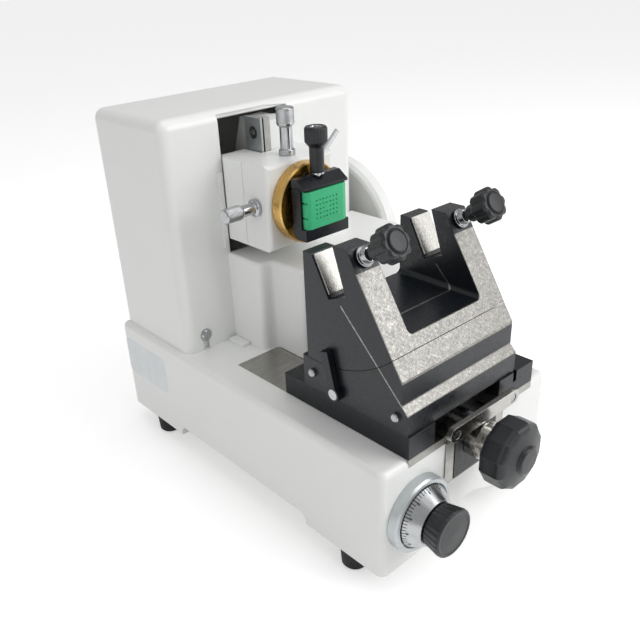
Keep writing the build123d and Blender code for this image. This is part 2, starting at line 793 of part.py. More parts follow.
# Ball bearings shown as inner ring, outer ring and the sealed shield between them
with BuildPart() as main_bearings:
    for x in (BRACKET_X[0], BRACKET_X[1] - BEARING_T):
        turned_x(
            SHAFT_Y,
            SHAFT_Z,
            [
                (x, SHAFT_R + RUN),
                (x, SHAFT_R + 2),
                (x + 0.6, SHAFT_R + 2),
                (x + 0.6, BEARING_R - 2),
                (x, BEARING_R - 2),
                (x, BEARING_R),
                (x + BEARING_T, BEARING_R),
                (x + BEARING_T, BEARING_R - 2),
                (x + BEARING_T - 0.6, BEARING_R - 2),
                (x + BEARING_T - 0.6, SHAFT_R + 2),
                (x + BEARING_T, SHAFT_R + 2),
                (x + BEARING_T, SHAFT_R + RUN),
            ],
        )

# Main shaft, crank and handwheel
with BuildPart() as main_shaft:
    wheel_end = WHEEL_X + WHEEL_RIM_W
    axle(SHAFT_Y, SHAFT_Z, (DISC_X + CRANK_DISC_T, wheel_end), SHAFT_R)
    axle(SHAFT_Y, SHAFT_Z, (DISC_X + CRANK_DISC_T, BRACKET_X[0] - PLAY), SHAFT_R + 3)

CRANK_Y = SHAFT_Y + CRANK_THROW * cos(radians(CRANK_REST))
with BuildPart() as crank_disc:
    axle(SHAFT_Y, SHAFT_Z, (DISC_X, DISC_X + CRANK_DISC_T), CRANK_DISC_R)
    chamfer(crank_disc.edges().filter_by(GeomType.CIRCLE), 1)
    axle(CRANK_Y, SLOT_Z, (PIN_X, DISC_X), CRANK_PIN_R)

GRIP_Y = SHAFT_Y + GRIP_THROW * cos(radians(GRIP_REST))
GRIP_Z = SHAFT_Z + GRIP_THROW * sin(radians(GRIP_REST))
with BuildPart() as handwheel:
    web = WHEEL_X + WHEEL_RIM_W / 2
    turned_x(
        SHAFT_Y,
        SHAFT_Z,
        [
            (COVER_RIGHT + 1, SHAFT_R),
            (COVER_RIGHT + 1, HUB_R - 3),
            (WHEEL_X, HUB_R),
            (web - 2, HUB_R + 1),
            (web - 2, WHEEL_R - WHEEL_RIM_T),
            (WHEEL_X + 1, WHEEL_R - WHEEL_RIM_T + 1),
            (WHEEL_X, WHEEL_R - WHEEL_RIM_T + 3),
            (WHEEL_X, WHEEL_R - 3),
            (WHEEL_X + 3, WHEEL_R),
            (wheel_end - 3, WHEEL_R),
            (wheel_end, WHEEL_R - 3),
            (wheel_end, WHEEL_R - WHEEL_RIM_T + 1),
            (web + 3, WHEEL_R - WHEEL_RIM_T),
            (web + 3, HUB_R + 1),
            (wheel_end - 2, HUB_R),
            (wheel_end - 2, SHAFT_R),
        ],
    )
    axle(GRIP_Y, GRIP_Z, (web - 2, wheel_end), GRIP_SPINDLE_R + 5)
    axle(GRIP_Y, GRIP_Z, (WHEEL_X, wheel_end + 1), GRIP_SPINDLE_R, Mode.SUBTRACT)

# Nut on the shaft's end and the spindle that the grip turns on
with BuildPart() as wheel_fittings:
    with BuildSketch(across(wheel_end - 2)) as hexagon:
        with Locations((SHAFT_Y, SHAFT_Z)):
            RegularPolygon(11, 6)
            Circle(SHAFT_R, mode=Mode.SUBTRACT)
    extrude(hexagon.sketch, amount=5)
    axle(GRIP_Y, GRIP_Z, (web - 2, wheel_end + GRIP_L + 1), GRIP_SPINDLE_R)
    axle(GRIP_Y, GRIP_Z, (wheel_end + GRIP_L + 1, wheel_end + GRIP_L + 4), GRIP_SPINDLE_R + 2.5)

with BuildPart() as handle_grip:
    grip_x = wheel_end + PLAY
    with BuildSketch(facing(GRIP_Y)) as grip_half:
        with BuildLine():
            bore = GRIP_Z + GRIP_SPINDLE_R + RUN
            Polyline(
                (grip_x, GRIP_Z + GRIP_R - 3),
                (grip_x, bore),
                (grip_x + GRIP_L, bore),
                (grip_x + GRIP_L, GRIP_Z + GRIP_R - 2),
            )
            Spline(
                (grip_x + GRIP_L, GRIP_Z + GRIP_R - 2),
                (grip_x + GRIP_L * 0.7, GRIP_Z + GRIP_R),
                (grip_x + GRIP_L * 0.3, GRIP_Z + GRIP_R - 1.5),
                (grip_x, GRIP_Z + GRIP_R - 3),
            )
        make_face()
    revolve(grip_half.sketch, axis=Axis((LEFT, FRONT + GRIP_Y, FOOT_H + GRIP_Z), (1, 0, 0)))

# Carriage: block with a channel round the guide and cheeks that reach through the notch
with BuildPart() as carriage:
    neck_left = HEAD_X[0] + NECK_INSET
    channel_left = GUIDE_X - 2
    plan_block(
        [
            (HEAD_X[0], CARRIAGE_Y),
            (HEAD_X[1], CARRIAGE_Y),
            (HEAD_X[1], CARRIAGE_REAR),
            (CHANNEL_RIGHT, CARRIAGE_REAR),
            (CHANNEL_RIGHT, CHANNEL_FRONT - 0.5),
            (channel_left, CHANNEL_FRONT - 0.5),
            (channel_left, CARRIAGE_REAR),
            (neck_left, CARRIAGE_REAR),
            (neck_left, COVER_Y - 3),
            (HEAD_X[0], COVER_Y - 3),
        ],
        HEAD_Z,
    )
    rod(FEED_X, FEED_Z, (CARRIAGE_Y - 1, CARRIAGE_REAR + 1), FEED_SCREW_R + RUN, Mode.SUBTRACT)
    for x, z in GUIDE_RODS:
        rod(x, z, (CARRIAGE_Y - 1, CARRIAGE_REAR + 1), GUIDE_ROD_R + RUN, Mode.SUBTRACT)

with BuildPart() as carriage_gib:
    slab(
        (channel_left, GUIDE_X - PLAY),
        (GUIDE_Y + 1, GUIDE_REAR - 1),
        (HEAD_Z[0] + 3, HEAD_Z[1] - 3),
    )

with BuildPart() as left_keeper:
    slab(
        (neck_left, GUIDE_X + 4),
        (CARRIAGE_REAR, CARRIAGE_REAR + KEEPER_T),
        (HEAD_Z[0] + 2, HEAD_Z[1] - 5),
    )
    rod(FEED_X, FEED_Z, (CARRIAGE_REAR - 1, CARRIAGE_REAR + KEEPER_T + 1), FEED_SCREW_R + RUN, Mode.SUBTRACT)
    for x, z in GUIDE_RODS[:1]:
        rod(x, z, (CARRIAGE_REAR - 1, CARRIAGE_REAR + KEEPER_T + 1), GUIDE_ROD_R + RUN, Mode.SUBTRACT)
    rod(PAWL_X, PAWL_Z, (CARRIAGE_REAR + 1, RATCHET_Y + RATCHET_T + 1), PAWL_PIN_R)

# Yoke: angle plate whose slot the crank pin drives
with BuildPart() as carriage_yoke:
    slab(
        (CHANNEL_RIGHT, YOKE_X + YOKE_T),
        (CARRIAGE_REAR, CARRIAGE_REAR + KEEPER_T),
        (HEAD_Z[0] + 16, HEAD_Z[1] - 5),
    )
    slot_y = SHAFT_Y
    slab((YOKE_X, YOKE_X + YOKE_T), (CARRIAGE_REAR, SHAFT_Y + YOKE_SLOT_HALF + 6), YOKE_Z)
    with BuildSketch(across(YOKE_X - 1)) as slot:
        with Locations((slot_y, SLOT_Z)):
            SlotOverall(2 * YOKE_SLOT_HALF, 2 * CRANK_PIN_R + 0.6)
    extrude(slot.sketch, amount=YOKE_T + 2, mode=Mode.SUBTRACT)

# Fine feed: screw with its ratchet wheel at the rear, nut in the head, pawl above the wheel
with BuildPart() as feed_screw:
    rod(FEED_X, FEED_Z, (176, RATCHET_Y + RATCHET_T), FEED_SCREW_R)
    rod(
        FEED_X,
        FEED_Z,
        (CARRIAGE_REAR + KEEPER_T + PLAY, RATCHET_Y),
        FEED_SCREW_R + 4,
    )

with BuildPart() as ratchet_wheel:
    with BuildSketch(facing(RATCHET_Y + RATCHET_T)) as teeth:
        with Locations((FEED_X, FEED_Z)):
            Circle(RATCHET_R)
            Circle(FEED_SCREW_R, mode=Mode.SUBTRACT)
            with PolarLocations(RATCHET_R, RATCHET_TEETH):
                Rectangle(2.4, 1.5, rotation=35, mode=Mode.SUBTRACT)
    extrude(teeth.sketch, amount=RATCHET_T)

# Pawl: ring on its pin, with a beak just clear of the teeth
with BuildPart() as feed_pawl:
    beak_r = RATCHET_R + 0.6
    beak = (FEED_X + beak_r * sin(radians(12)), FEED_Z + beak_r * cos(radians(12)))
    with BuildSketch(facing(RATCHET_Y + RATCHET_T)) as pawl:
        with BuildLine():
            Polyline(
                (PAWL_X, PAWL_Z + 4.5),
                (beak[0] - 1, beak[1] + 4),
                beak,
                (PAWL_X + 1, PAWL_Z - 4.5),
                close=True,
            )
        make_face()
        with Locations((PAWL_X, PAWL_Z)):
            Circle(4.8)
            Circle(PAWL_PIN_R + RUN, mode=Mode.SUBTRACT)
    extrude(pawl.sketch, amount=RATCHET_T)

# Head block: rounded box round a ball socket, with a nut and two guide rods
with BuildPart() as head_block:
    head_rear = CARRIAGE_Y - PLAY
    slab(HEAD_X, (HEAD_FRONT_Y, head_rear), HEAD_Z)
    fillet(head_block.faces().sort_by(Axis.Y)[0].edges(), 3.5)
    ball(BALL_X, BALL_Y, BALL_Z, SOCKET_R, Mode.SUBTRACT)
    trunnion_z = (BALL_Z - SOCKET_R - 4.5, BALL_Z + SOCKET_R + 4.5)
    post(BALL_X, BALL_Y, trunnion_z, TRUNNION_R + RUN, Mode.SUBTRACT)
    rod(FEED_X, FEED_Z, (HEAD_FRONT_Y + 4, head_rear + 1), FEED_SCREW_R + 0.5, Mode.SUBTRACT)
    rod(FEED_X, FEED_Z, (head_rear - 8, head_rear + 1), FEED_NUT_R, Mode.SUBTRACT)
    for x, z in GUIDE_RODS:
        rod(x, z, (head_rear - 18, head_rear + 1), GUIDE_ROD_R, Mode.SUBTRACT)
    post(TILT_KNOB_X, TILT_KNOB_Y, (HEAD_Z[1] - 4.5, HEAD_Z[1] + 1), 3 + RUN, Mode.SUBTRACT)
    axle(SWIVEL_KNOB_Y, SWIVEL_KNOB_Z, (HEAD_X[0] - 1, HEAD_X[0] + 7), 3 + RUN, Mode.SUBTRACT)
    with BuildSketch(facing(HEAD_FRONT_Y + 4)) as cap_holes:
        with Locations((BALL_X, BALL_Z)):
            with PolarLocations(CAP_SCREW_CIRCLE, CAP_SCREWS, start_angle=100):
                Circle(1.5)
    extrude(cap_holes.sketch, amount=5, mode=Mode.SUBTRACT)

with BuildPart() as feed_nut:
    rod(FEED_X, FEED_Z, (head_rear - 8, head_rear), FEED_NUT_R)
    rod(FEED_X, FEED_Z, (head_rear - 9, head_rear + 1), FEED_SCREW_R + RUN, Mode.SUBTRACT)

with BuildPart() as guide_rods:
    for x, z in GUIDE_RODS:
        rod(x, z, (head_rear - 18, CARRIAGE_REAR - 2), GUIDE_ROD_R)

# Swivel ring: slice of a ball, bored for the inner ball, with upright trunnions
with BuildPart() as swivel_ring:
    ball(BALL_X, BALL_Y, BALL_Z, RING_R)
    slab((BALL_X - 40, BALL_X + 40), (BALL_Y - 40, RING_Y[0]), (BALL_Z - 40, BALL_Z + 40), Mode.SUBTRACT)
    slab((BALL_X - 40, BALL_X + 40), (RING_Y[1], BALL_Y + 40), (BALL_Z - 40, BALL_Z + 40), Mode.SUBTRACT)
    ring_pin = SOCKET_R + 4
    post(BALL_X, BALL_Y, (BALL_Z - ring_pin, BALL_Z - BALL_R), TRUNNION_R)
    post(BALL_X, BALL_Y, (BALL_Z + BALL_R, BALL_Z + ring_pin), TRUNNION_R)
    ball(BALL_X, BALL_Y, BALL_Z, BALL_R + 0.4, Mode.SUBTRACT)
    axle(BALL_Y, BALL_Z, (BALL_X - RING_R - 1, BALL_X + RING_R + 1), TRUNNION_R - 0.5 + RUN, Mode.SUBTRACT)

# Tilting ball with its side trunnions and the stem that carries the clamp
with BuildPart() as tilt_ball:
    ball(BALL_X, BALL_Y, BALL_Z, BALL_R)
    slab(
        (BALL_X - 40, BALL_X + 40),
        (BALL_Y + 8, BALL_Y + 40),
        (BALL_Z - 40, BALL_Z + 40),
        Mode.SUBTRACT,
    )
    axle(BALL_Y, BALL_Z, (BALL_X - RING_R + 0.8, BALL_X + RING_R - 0.8), TRUNNION_R - 0.5)
    rod(BALL_X, BALL_Z, (CLAMP_BACK_Y[1], BALL_Y), STEM_R)

# Brass cap that closes the socket, with a spigot that stands inside the lock ring
with BuildPart() as socket_cap:
    cap_rear = CAP_FRONT_Y + CAP_T
    turned_y(
        BALL_X,
        BALL_Z,
        [
            (CAP_FRONT_Y, CAP_MOUTH_R),
            (CAP_FRONT_Y, CAP_R - 1.2),
            (CAP_FRONT_Y + 1.2, CAP_R),
            (cap_rear, CAP_R),
            (cap_rear, CAP_SPIGOT_R),
            (HEAD_FRONT_Y, CAP_SPIGOT_R),
            (HEAD_FRONT_Y, SOCKET_R - 4.2),
            (cap_rear, CAP_MOUTH_R + 2),
        ],
    )
    with BuildSketch(facing(HEAD_FRONT_Y + 1)) as cap_bores:
        with Locations((BALL_X, BALL_Z)):
            with PolarLocations(CAP_SCREW_CIRCLE, CAP_SCREWS, start_angle=100):
                Circle(1.5 + HOLE)
    extrude(cap_bores.sketch, amount=HEAD_FRONT_Y - CAP_FRONT_Y + 2, mode=Mode.SUBTRACT)
    with BuildSketch(facing(CAP_FRONT_Y + 2)) as cap_sinks:
        with Locations((BALL_X, BALL_Z)):
            with PolarLocations(CAP_SCREW_CIRCLE, CAP_SCREWS, start_angle=100):
                Circle(3.1)
    extrude(cap_sinks.sketch, amount=3, mode=Mode.SUBTRACT)

with BuildPart() as cap_screws:
    with BuildSketch(facing(HEAD_FRONT_Y + 4)) as shanks:
        with Locations((BALL_X, BALL_Z)):
            with PolarLocations(CAP_SCREW_CIRCLE, CAP_SCREWS, start_angle=100):
                Circle(1.5)
    extrude(shanks.sketch, amount=HEAD_FRONT_Y + 4 - CAP_FRONT_Y - 2)
    with BuildSketch(facing(CAP_FRONT_Y + 2)) as heads:
        with Locations((BALL_X, BALL_Z)):
            with PolarLocations(CAP_SCREW_CIRCLE, CAP_SCREWS, start_angle=100):
                Circle(3)
                RegularPolygon(1.5, 6, mode=Mode.SUBTRACT)
    extrude(heads.sketch, amount=2.4)

lever_dir = (cos(radians(LOCK_LEVER_TILT)), sin(radians(LOCK_LEVER_TILT)))
lever_root = (BALL_X + 12.5, BALL_Z + 26.5)
ring_front = cap_rear + 0.2


def lever_round(start, length, radius, mode=Mode.ADD):
    """Round along the lock lever's own slanting line, from a distance along it."""
    place = (
        LEFT + lever_root[0] + start * lever_dir[0],
        FRONT + ring_front + LOCK_RING_T / 2,
        FOOT_H + lever_root[1] + start * lever_dir[1],
    )
    with BuildSketch(Plane(origin=place, z_dir=(lever_dir[0], 0, lever_dir[1]))) as end:
        Circle(radius)
    extrude(end.sketch, amount=length, mode=mode)


# Lock ring behind the cap, with the polished hollow rod that turns it
with BuildPart() as lock_ring:
    turned_y(
        BALL_X,
        BALL_Z,
        [
            (ring_front, CAP_SPIGOT_R + PLAY),
            (ring_front, CAP_R),
            (ring_front + LOCK_RING_T, CAP_R),
            (ring_front + LOCK_RING_T, CAP_SPIGOT_R + PLAY),
        ],
    )
    lever_round(0, LOCK_LEVER_L, LOCK_LEVER_R * 0.95)
    lever_round(3, LOCK_LEVER_L - 3, LOCK_LEVER_R)
    lever_round(LOCK_LEVER_L - 4, 5, LOCK_LEVER_R * 0.6, Mode.SUBTRACT)

# Chrome orientation knobs: collar, neck and knurled head on one spindle
with BuildPart() as tilt_knob:
    top = HEAD_Z[1]
    turned_z(
        TILT_KNOB_X,
        TILT_KNOB_Y,
        [
            (top - 3.5, 0),
            (top - 3.5, 3),
            (top + PLAY, 3),
            (top + PLAY, 6.5),
            (top + 4, 6.5),
            (top + 5, 5),
            (top + 22, 5),
            (top + 22.5, 6.6),
            (top + 24, 7),
            (top + 35, 7),
            (top + 36, 6),
            (top + 36, 0),
        ],
    )

with BuildPart() as swivel_knob:
    side = HEAD_X[0]
    turned_x(
        SWIVEL_KNOB_Y,
        SWIVEL_KNOB_Z,
        [
            (side + 6, 0),
            (side + 6, 3),
            (side - PLAY, 3),
            (side - PLAY, 7),
            (side - 3, 7),
            (side - 4, 4.5),
            (side - 15, 4.5),
            (side - 15.5, 5.4),
            (side - 17, 5.8),
            (side - 30, 5.8),
            (side - 31.3, 4.8),
            (side - 31.3, 0),
        ],
    )

# Cassette clamp: fixed back and lower jaw, sliding upper jaw, knob
CLAMP_LIMITS = (CLAMP_X - CLAMP_W / 2, CLAMP_X + CLAMP_W / 2)
with BuildPart() as clamp_body:
    side_block(
        [
            (CLAMP_BACK_Y[1], CLAMP_Z[0] + 4),
            (CLAMP_BACK_Y[1], CLAMP_Z[1]),
            (CLAMP_BACK_Y[0], CLAMP_Z[1]),
            (CLAMP_BACK_Y[0], CLAMP_Z[0] + JAW_LIP),
            (JAW_FRONT_Y, CLAMP_Z[0] + JAW_LIP),
            (JAW_FRONT_Y, CLAMP_Z[0]),
            (CLAMP_BACK_Y[1] - 4, CLAMP_Z[0]),
        ],
        CLAMP_LIMITS,
    )
    post(CLAMP_X, CLAMP_SCREW_Y, (CLAMP_Z[0] + 8, CLAMP_Z[1] + 1), CLAMP_SCREW_R + RUN, Mode.SUBTRACT)

with BuildPart() as clamp_jaw:
    jaw_base = CLAMP_Z[1] + PLAY
    side_block(
        [
            (CLAMP_BACK_Y[1], jaw_base),
            (CLAMP_BACK_Y[1], JAW_TOP_Z),
            (CLAMP_BACK_Y[0] + 3.5, JAW_TOP_Z),
            (JAW_FRONT_Y, JAW_TOP_Z - 6),
            (JAW_FRONT_Y, jaw_base - 1),
            (CLAMP_BACK_Y[0] - 0.4, jaw_base - 1),
            (CLAMP_BACK_Y[0] - 0.4, jaw_base),
        ],
        CLAMP_LIMITS,
    )
    post(CLAMP_X, CLAMP_SCREW_Y, (jaw_base - 1, JAW_TOP_Z + 1), CLAMP_SCREW_R + RUN, Mode.SUBTRACT)

with BuildPart() as clamp_knob:
    knob_z = JAW_TOP_Z + 0.7
    turned_z(
        CLAMP_X,
        CLAMP_SCREW_Y,
        [
            (knob_z + 1.2, 0),
            (knob_z + 1.2, CLAMP_NECK_R),
            (knob_z + 20, CLAMP_NECK_R),
            (knob_z + 23.5, 8.6),
            (knob_z + 34, 8.6),
            (knob_z + 35.3, 7.6),
            (knob_z + 35.3, 5),
            (knob_z + 34, 5),
            (knob_z + 34, 0),
        ],
    )

with BuildPart() as clamp_screw:
    post(CLAMP_X, CLAMP_SCREW_Y, (CLAMP_Z[0] + 16, knob_z), CLAMP_SCREW_R)
    post(CLAMP_X, CLAMP_SCREW_Y, (knob_z, knob_z + 1.2), CLAMP_NECK_R + HOLE)

# Cassette: tray with a chamfered frame and the field of small round openings
CASSETTE_Z = CLAMP_Z[0] + JAW_LIP
with BuildPart() as cassette:
    cassette_x = (CLAMP_X - CASSETTE_W / 2, CLAMP_X + CASSETTE_W / 2)
    cassette_y = (CLAMP_BACK_Y[0] - CASSETTE_T, CLAMP_BACK_Y[0])
    cassette_top = CASSETTE_Z + CASSETTE_H
    plan_block(
        [
            (cassette_x[0], cassette_y[1]),
            (cassette_x[0], cassette_y[0] + 2),
            (cassette_x[0] + 3, cassette_y[0]),
            (cassette_x[1] - 4, cassette_y[0]),
            (cassette_x[1], cassette_y[0] + 1.5),
            (cassette_x[1], cassette_y[1]),
        ],
        (CASSETTE_Z, cassette_top),
    )
    slab(
        (cassette_x[0] + 4, cassette_x[1] - 5),
        (cassette_y[0] + CASSETTE_WALL, cassette_y[1] + 1),
        (CASSETTE_Z + 1.5, cassette_top - 1.5),
        Mode.SUBTRACT,
    )
    for z in (CASSETTE_Z + 8.5, cassette_top - 8.5):
        slab(
            (cassette_x[0] - 1, cassette_x[0] + 1.2),
            (cassette_y[0] - 1, cassette_y[1] + 1),
            (z - 0.8, z + 0.8),
            Mode.SUBTRACT,
        )
    with BuildSketch(facing(cassette_y[0] + CASSETTE_WALL + 1)) as sieve:
        for column in range(HOLE_COLS):
            for row in range(HOLE_ROWS):
                if (column, row) == (HOLE_COLS // 2, HOLE_ROWS // 2):
                    continue
                hole_x = CLAMP_X - 1 + (column - (HOLE_COLS - 1) / 2) * HOLE_PITCH
                hole_z = CASSETTE_Z + CASSETTE_H / 2 + (row - (HOLE_ROWS - 1) / 2) * HOLE_PITCH
                with Locations((hole_x, hole_z)):
                    Circle(HOLE_R)
    extrude(sieve.sketch, amount=CASSETTE_WALL + 2, mode=Mode.SUBTRACT)

# Knife base: slab on the bed with a cut-out at the front and a nut lug below
with BuildPart() as knife_base:
    slab((KNIFE_BASE_X, KNIFE_BASE_RIGHT), (0, KNIFE_BASE_D), (SLIDE_Z, KNIFE_BASE_TOP))
    slab(KNIFE_CUT_X, (-1, KNIFE_CUT_D), (SLIDE_Z - 1, KNIFE_BASE_TOP + 1), Mode.SUBTRACT)
    notch_x = KNIFE_CUT_X[1] + 17
    slab((notch_x, notch_x + 4), (-1, 3), (SLIDE_Z + 9, KNIFE_BASE_TOP + 1), Mode.SUBTRACT)
    nut_half = BED_SLOT_W / 2 - 0.5
    slab(
        (COARSE_X - nut_half, COARSE_X + nut_half),
        (NUT_Y, NUT_Y + NUT_D),
        (COARSE_Z + COARSE_SCREW_R + 5, SLIDE_Z),
    )

with BuildPart() as coarse_nut:
    nut_top = COARSE_Z + COARSE_SCREW_R + 5
    slab(
        (COARSE_X - nut_half - 5, COARSE_X + nut_half + 5),
        (NUT_Y, NUT_Y + NUT_D),
        (COARSE_Z - COARSE_SCREW_R - 5, BASE_H - BASE_TOP - 1),
    )
    slab(
        (COARSE_X - nut_half, COARSE_X + nut_half),
        (NUT_Y, NUT_Y + NUT_D),
        (COARSE_Z, nut_top),
    )
    rod(COARSE_X, COARSE_Z, (NUT_Y - 1, NUT_Y + NUT_D + 1), COARSE_SCREW_R + RUN, Mode.SUBTRACT)

# Front bracket: bent plate with rounded ends and two arms back to the slab
with BuildPart() as front_bracket:
    bracket_z = (SLIDE_Z, SLIDE_Z + 11)
    with BuildSketch(facing(BRACKET_Y + BRACKET_T)) as plate:
        with Locations(((BRACKET_LEFT_X + BRACKET_RIGHT_X) / 2, (bracket_z[0] + bracket_z[1]) / 2)):
            SlotOverall(BRACKET_RIGHT_X - BRACKET_LEFT_X, bracket_z[1] - bracket_z[0])
    extrude(plate.sketch, amount=BRACKET_T)
    for x in ((BRACKET_LEFT_X + 3, BRACKET_LEFT_X + 13), (BRACKET_RIGHT_X - 22, BRACKET_RIGHT_X - 12)):
        slab(x, (BRACKET_Y + BRACKET_T - 1, KNIFE_CUT_D), (SLIDE_Z + 1, bracket_z[1] - 1))
    for x in (BRACKET_LEFT_X + 7, BRACKET_RIGHT_X - 7):
        rod(x, SLIDE_Z + 5, (BRACKET_Y - 1, BRACKET_Y + 2), 3.6, Mode.SUBTRACT)

# Stop pin that locks the knife base, between the bracket and the slab
with BuildPart() as stop_pin:
    rod(86, SLIDE_Z + 7, (BRACKET_Y + BRACKET_T, KNIFE_CUT_D), 4)

# Tilt seat: shaped block with the concave arc on top
with BuildPart() as tilt_seat:
    seat_z = KNIFE_BASE_TOP
    arc_low = ARC_Z - ARC_R
    seam_z = ARC_Z - sqrt(ARC_R**2 - (ARC_Y - SEAM_Y) ** 2)
    rear_z = ARC_Z - sqrt(ARC_R**2 - (SEAT_REAR_Y - ARC_Y) ** 2)
    with BuildSketch(across(KNIFE_BASE_X)) as seat_side:
        with BuildLine():
            Polyline(
                (SEAT_REAR_Y, rear_z),
                (SEAT_REAR_Y, seat_z),
                (SEAT_FRONT_Y, seat_z),
                (SEAT_FRONT_Y, seat_z + 16),
                (SEAT_FRONT_Y + 5, seat_z + 21),
                (SEAT_FRONT_Y + 5, seam_z - 12.2),
                (SEAM_Y, seam_z),
            )
            mid_y = (SEAM_Y + SEAT_REAR_Y) / 2
            mid_z = ARC_Z - sqrt(ARC_R**2 - (mid_y - ARC_Y) ** 2)
            ThreePointArc((SEAM_Y, seam_z), (mid_y, mid_z), (SEAT_REAR_Y, rear_z))
        make_face()
    extrude(seat_side.sketch, amount=HOLDER_W)
    axle(
        TILT_PIVOT_Y,
        TILT_PIVOT_Z,
        (KNIFE_BASE_X - 1, KNIFE_BASE_X + 60),
        TILT_SHAFT_R + RUN,
        Mode.SUBTRACT,
    )

# Screws of the knife side: two in the bracket, two in the seat's left face
SEAT_SCREWS = ((89.5, 117.5), (10.9, 116.0))
with BuildPart() as knife_screws:
    for x in (BRACKET_LEFT_X + 7, BRACKET_RIGHT_X - 7):
        rod(x, SLIDE_Z + 5, (BRACKET_Y + 0.4, BRACKET_Y + 2), 3.5)
        with BuildSketch(facing(BRACKET_Y + 2)) as drive:
            with Locations((x, SLIDE_Z + 5)):
                RegularPolygon(1.8, 6)
        extrude(drive.sketch, amount=1.2, mode=Mode.SUBTRACT)
    for y, z in SEAT_SCREWS:
        turned_x(
            y,
            z,
            [
                (KNIFE_BASE_X, 0),
                (KNIFE_BASE_X, 3.2),
                (KNIFE_BASE_X - 2, 3.2),
                (KNIFE_BASE_X - 2.8, 2.4),
                (KNIFE_BASE_X - 2.8, 0),
            ],
        )

# Tilt clamp: shaft through the seat with a flat lever on its end
with BuildPart() as tilt_clamp_shaft:
    axle(TILT_PIVOT_Y, TILT_PIVOT_Z, (KNIFE_BASE_X - 5, KNIFE_BASE_X + 58), TILT_SHAFT_R)

with BuildPart() as tilt_lever:
    lean = radians(TILT_LEVER_LEAN)
    with BuildSketch(across(KNIFE_BASE_X - 5)) as arm:
        with Locations(
            Location(
                (
                    TILT_PIVOT_Y + TILT_LEVER_L / 2 * sin(lean),
                    TILT_PIVOT_Z + TILT_LEVER_L / 2 * cos(lean),
                ),
                90 - TILT_LEVER_LEAN,
            )
        ):
            Rectangle(TILT_LEVER_L, 7)
        with Locations((TILT_PIVOT_Y, TILT_PIVOT_Z)):
            Circle(5.6)
            Circle(TILT_SHAFT_R, mode=Mode.SUBTRACT)
    extrude(arm.sketch, amount=4.5)

# Knife cradle: two leaning posts over the arc, each with a slanting slot for the knife
with BuildPart() as knife_cradle:
    cradle_r = ARC_R - PLAY
    front_z = ARC_Z - sqrt(cradle_r**2 - (ARC_Y - SEAM_Y) ** 2)
    heel_z = ARC_Z - sqrt(cradle_r**2 - (CRADLE_REAR_Y - ARC_Y) ** 2)
    brow_y = SEAM_Y + (POST_FRONT_TOP_Z - front_z) * FRONT_LEAN
    with BuildSketch(across(KNIFE_BASE_X)) as cradle_side:
        with BuildLine():
            Polyline(
                (SEAM_Y, front_z),
                (brow_y, POST_FRONT_TOP_Z),
                (SLOT_FRONT_TOP_Y, POST_FRONT_TOP_Z),
                SLOT_FLOOR_FRONT,
                SLOT_FLOOR_REAR,
                (SLOT_REAR_TOP_Y, POST_REAR_TOP_Z),
                (CRADLE_REAR_Y, POST_REAR_TOP_Z),
                (CRADLE_REAR_Y, heel_z),
            )
            belly_y = (SEAM_Y + CRADLE_REAR_Y) / 2
            belly_z = ARC_Z - sqrt(cradle_r**2 - (belly_y - ARC_Y) ** 2)
            ThreePointArc((CRADLE_REAR_Y, heel_z), (belly_y, belly_z), (SEAM_Y, front_z))
        make_face()
    extrude(cradle_side.sketch, amount=HOLDER_W)
    with BuildSketch(facing(CRADLE_REAR_Y + 5)) as gap:
        with Locations(((KNIFE_BASE_X + HOLDER_RIGHT) / 2, CRADLE_FLOOR_Z)):
            Rectangle(
                HOLDER_W - 2 * POST_W,
                POST_FRONT_TOP_Z - CRADLE_FLOOR_Z + 5,
                align=(Align.CENTER, Align.MIN),
            )
        fillet(gap.vertices().group_by(Axis.Z)[0], 4)
    extrude(gap.sketch, amount=CRADLE_REAR_Y + 10, mode=Mode.SUBTRACT)

star_dir = (cos(radians(STAR_AXIS)), sin(radians(STAR_AXIS)))
star_seat = (48.5, 212.7)
STAR_X = (KNIFE_BASE_X + POST_W / 2, HOLDER_RIGHT - POST_W / 2)


def star_plane(x, along):
    """Sketch plane square to a star knob's axis, at a distance out from the post's face."""
    return Plane(
        origin=(
            LEFT + x,
            FRONT + star_seat[0] - along * star_dir[0],
            FOOT_H + star_seat[1] + along * star_dir[1],
        ),
        x_dir=(1, 0, 0),
        z_dir=(0, -star_dir[0], star_dir[1]),
    )


def star_round(x, along, length, radius, mode=Mode.ADD):
    """Round on a star knob's slanting axis."""
    with BuildSketch(star_plane(x, along)) as end:
        Circle(radius)
    extrude(end.sketch, amount=length, mode=mode)


STAR_ROOT = 10.5
STAR_DEPTH = 13.0
with BuildPart() as cradle_bores:
    add(knife_cradle.part)
    for x in STAR_X:
        star_round(x, -STAR_DEPTH - 4, STAR_DEPTH + 20, STAR_SCREW_R + RUN, Mode.SUBTRACT)
knife_cradle = cradle_bores

# Steel pads let on to the rear walls of the slots
with BuildPart() as knife_pads:
    run_y = SLOT_REAR_TOP_Y - SLOT_FLOOR_REAR[0]
    run_z = POST_REAR_TOP_Z - SLOT_FLOOR_REAR[1]
    run = sqrt(run_y**2 + run_z**2)
    along_y, along_z = run_y / run, run_z / run
    for x in (KNIFE_BASE_X, HOLDER_RIGHT - POST_W):
        start = (SLOT_FLOOR_REAR[0] + 3 * along_y, SLOT_FLOOR_REAR[1] + 3 * along_z)
        end = (SLOT_REAR_TOP_Y - 1 * along_y, POST_REAR_TOP_Z - 1 * along_z)
        side_block(
            [
                start,
                end,
                (end[0] - PAD_T * along_z, end[1] + PAD_T * along_y),
                (start[0] - PAD_T * along_z, start[1] + PAD_T * along_y),
            ],
            (x + 1, x + POST_W - 1),
        )


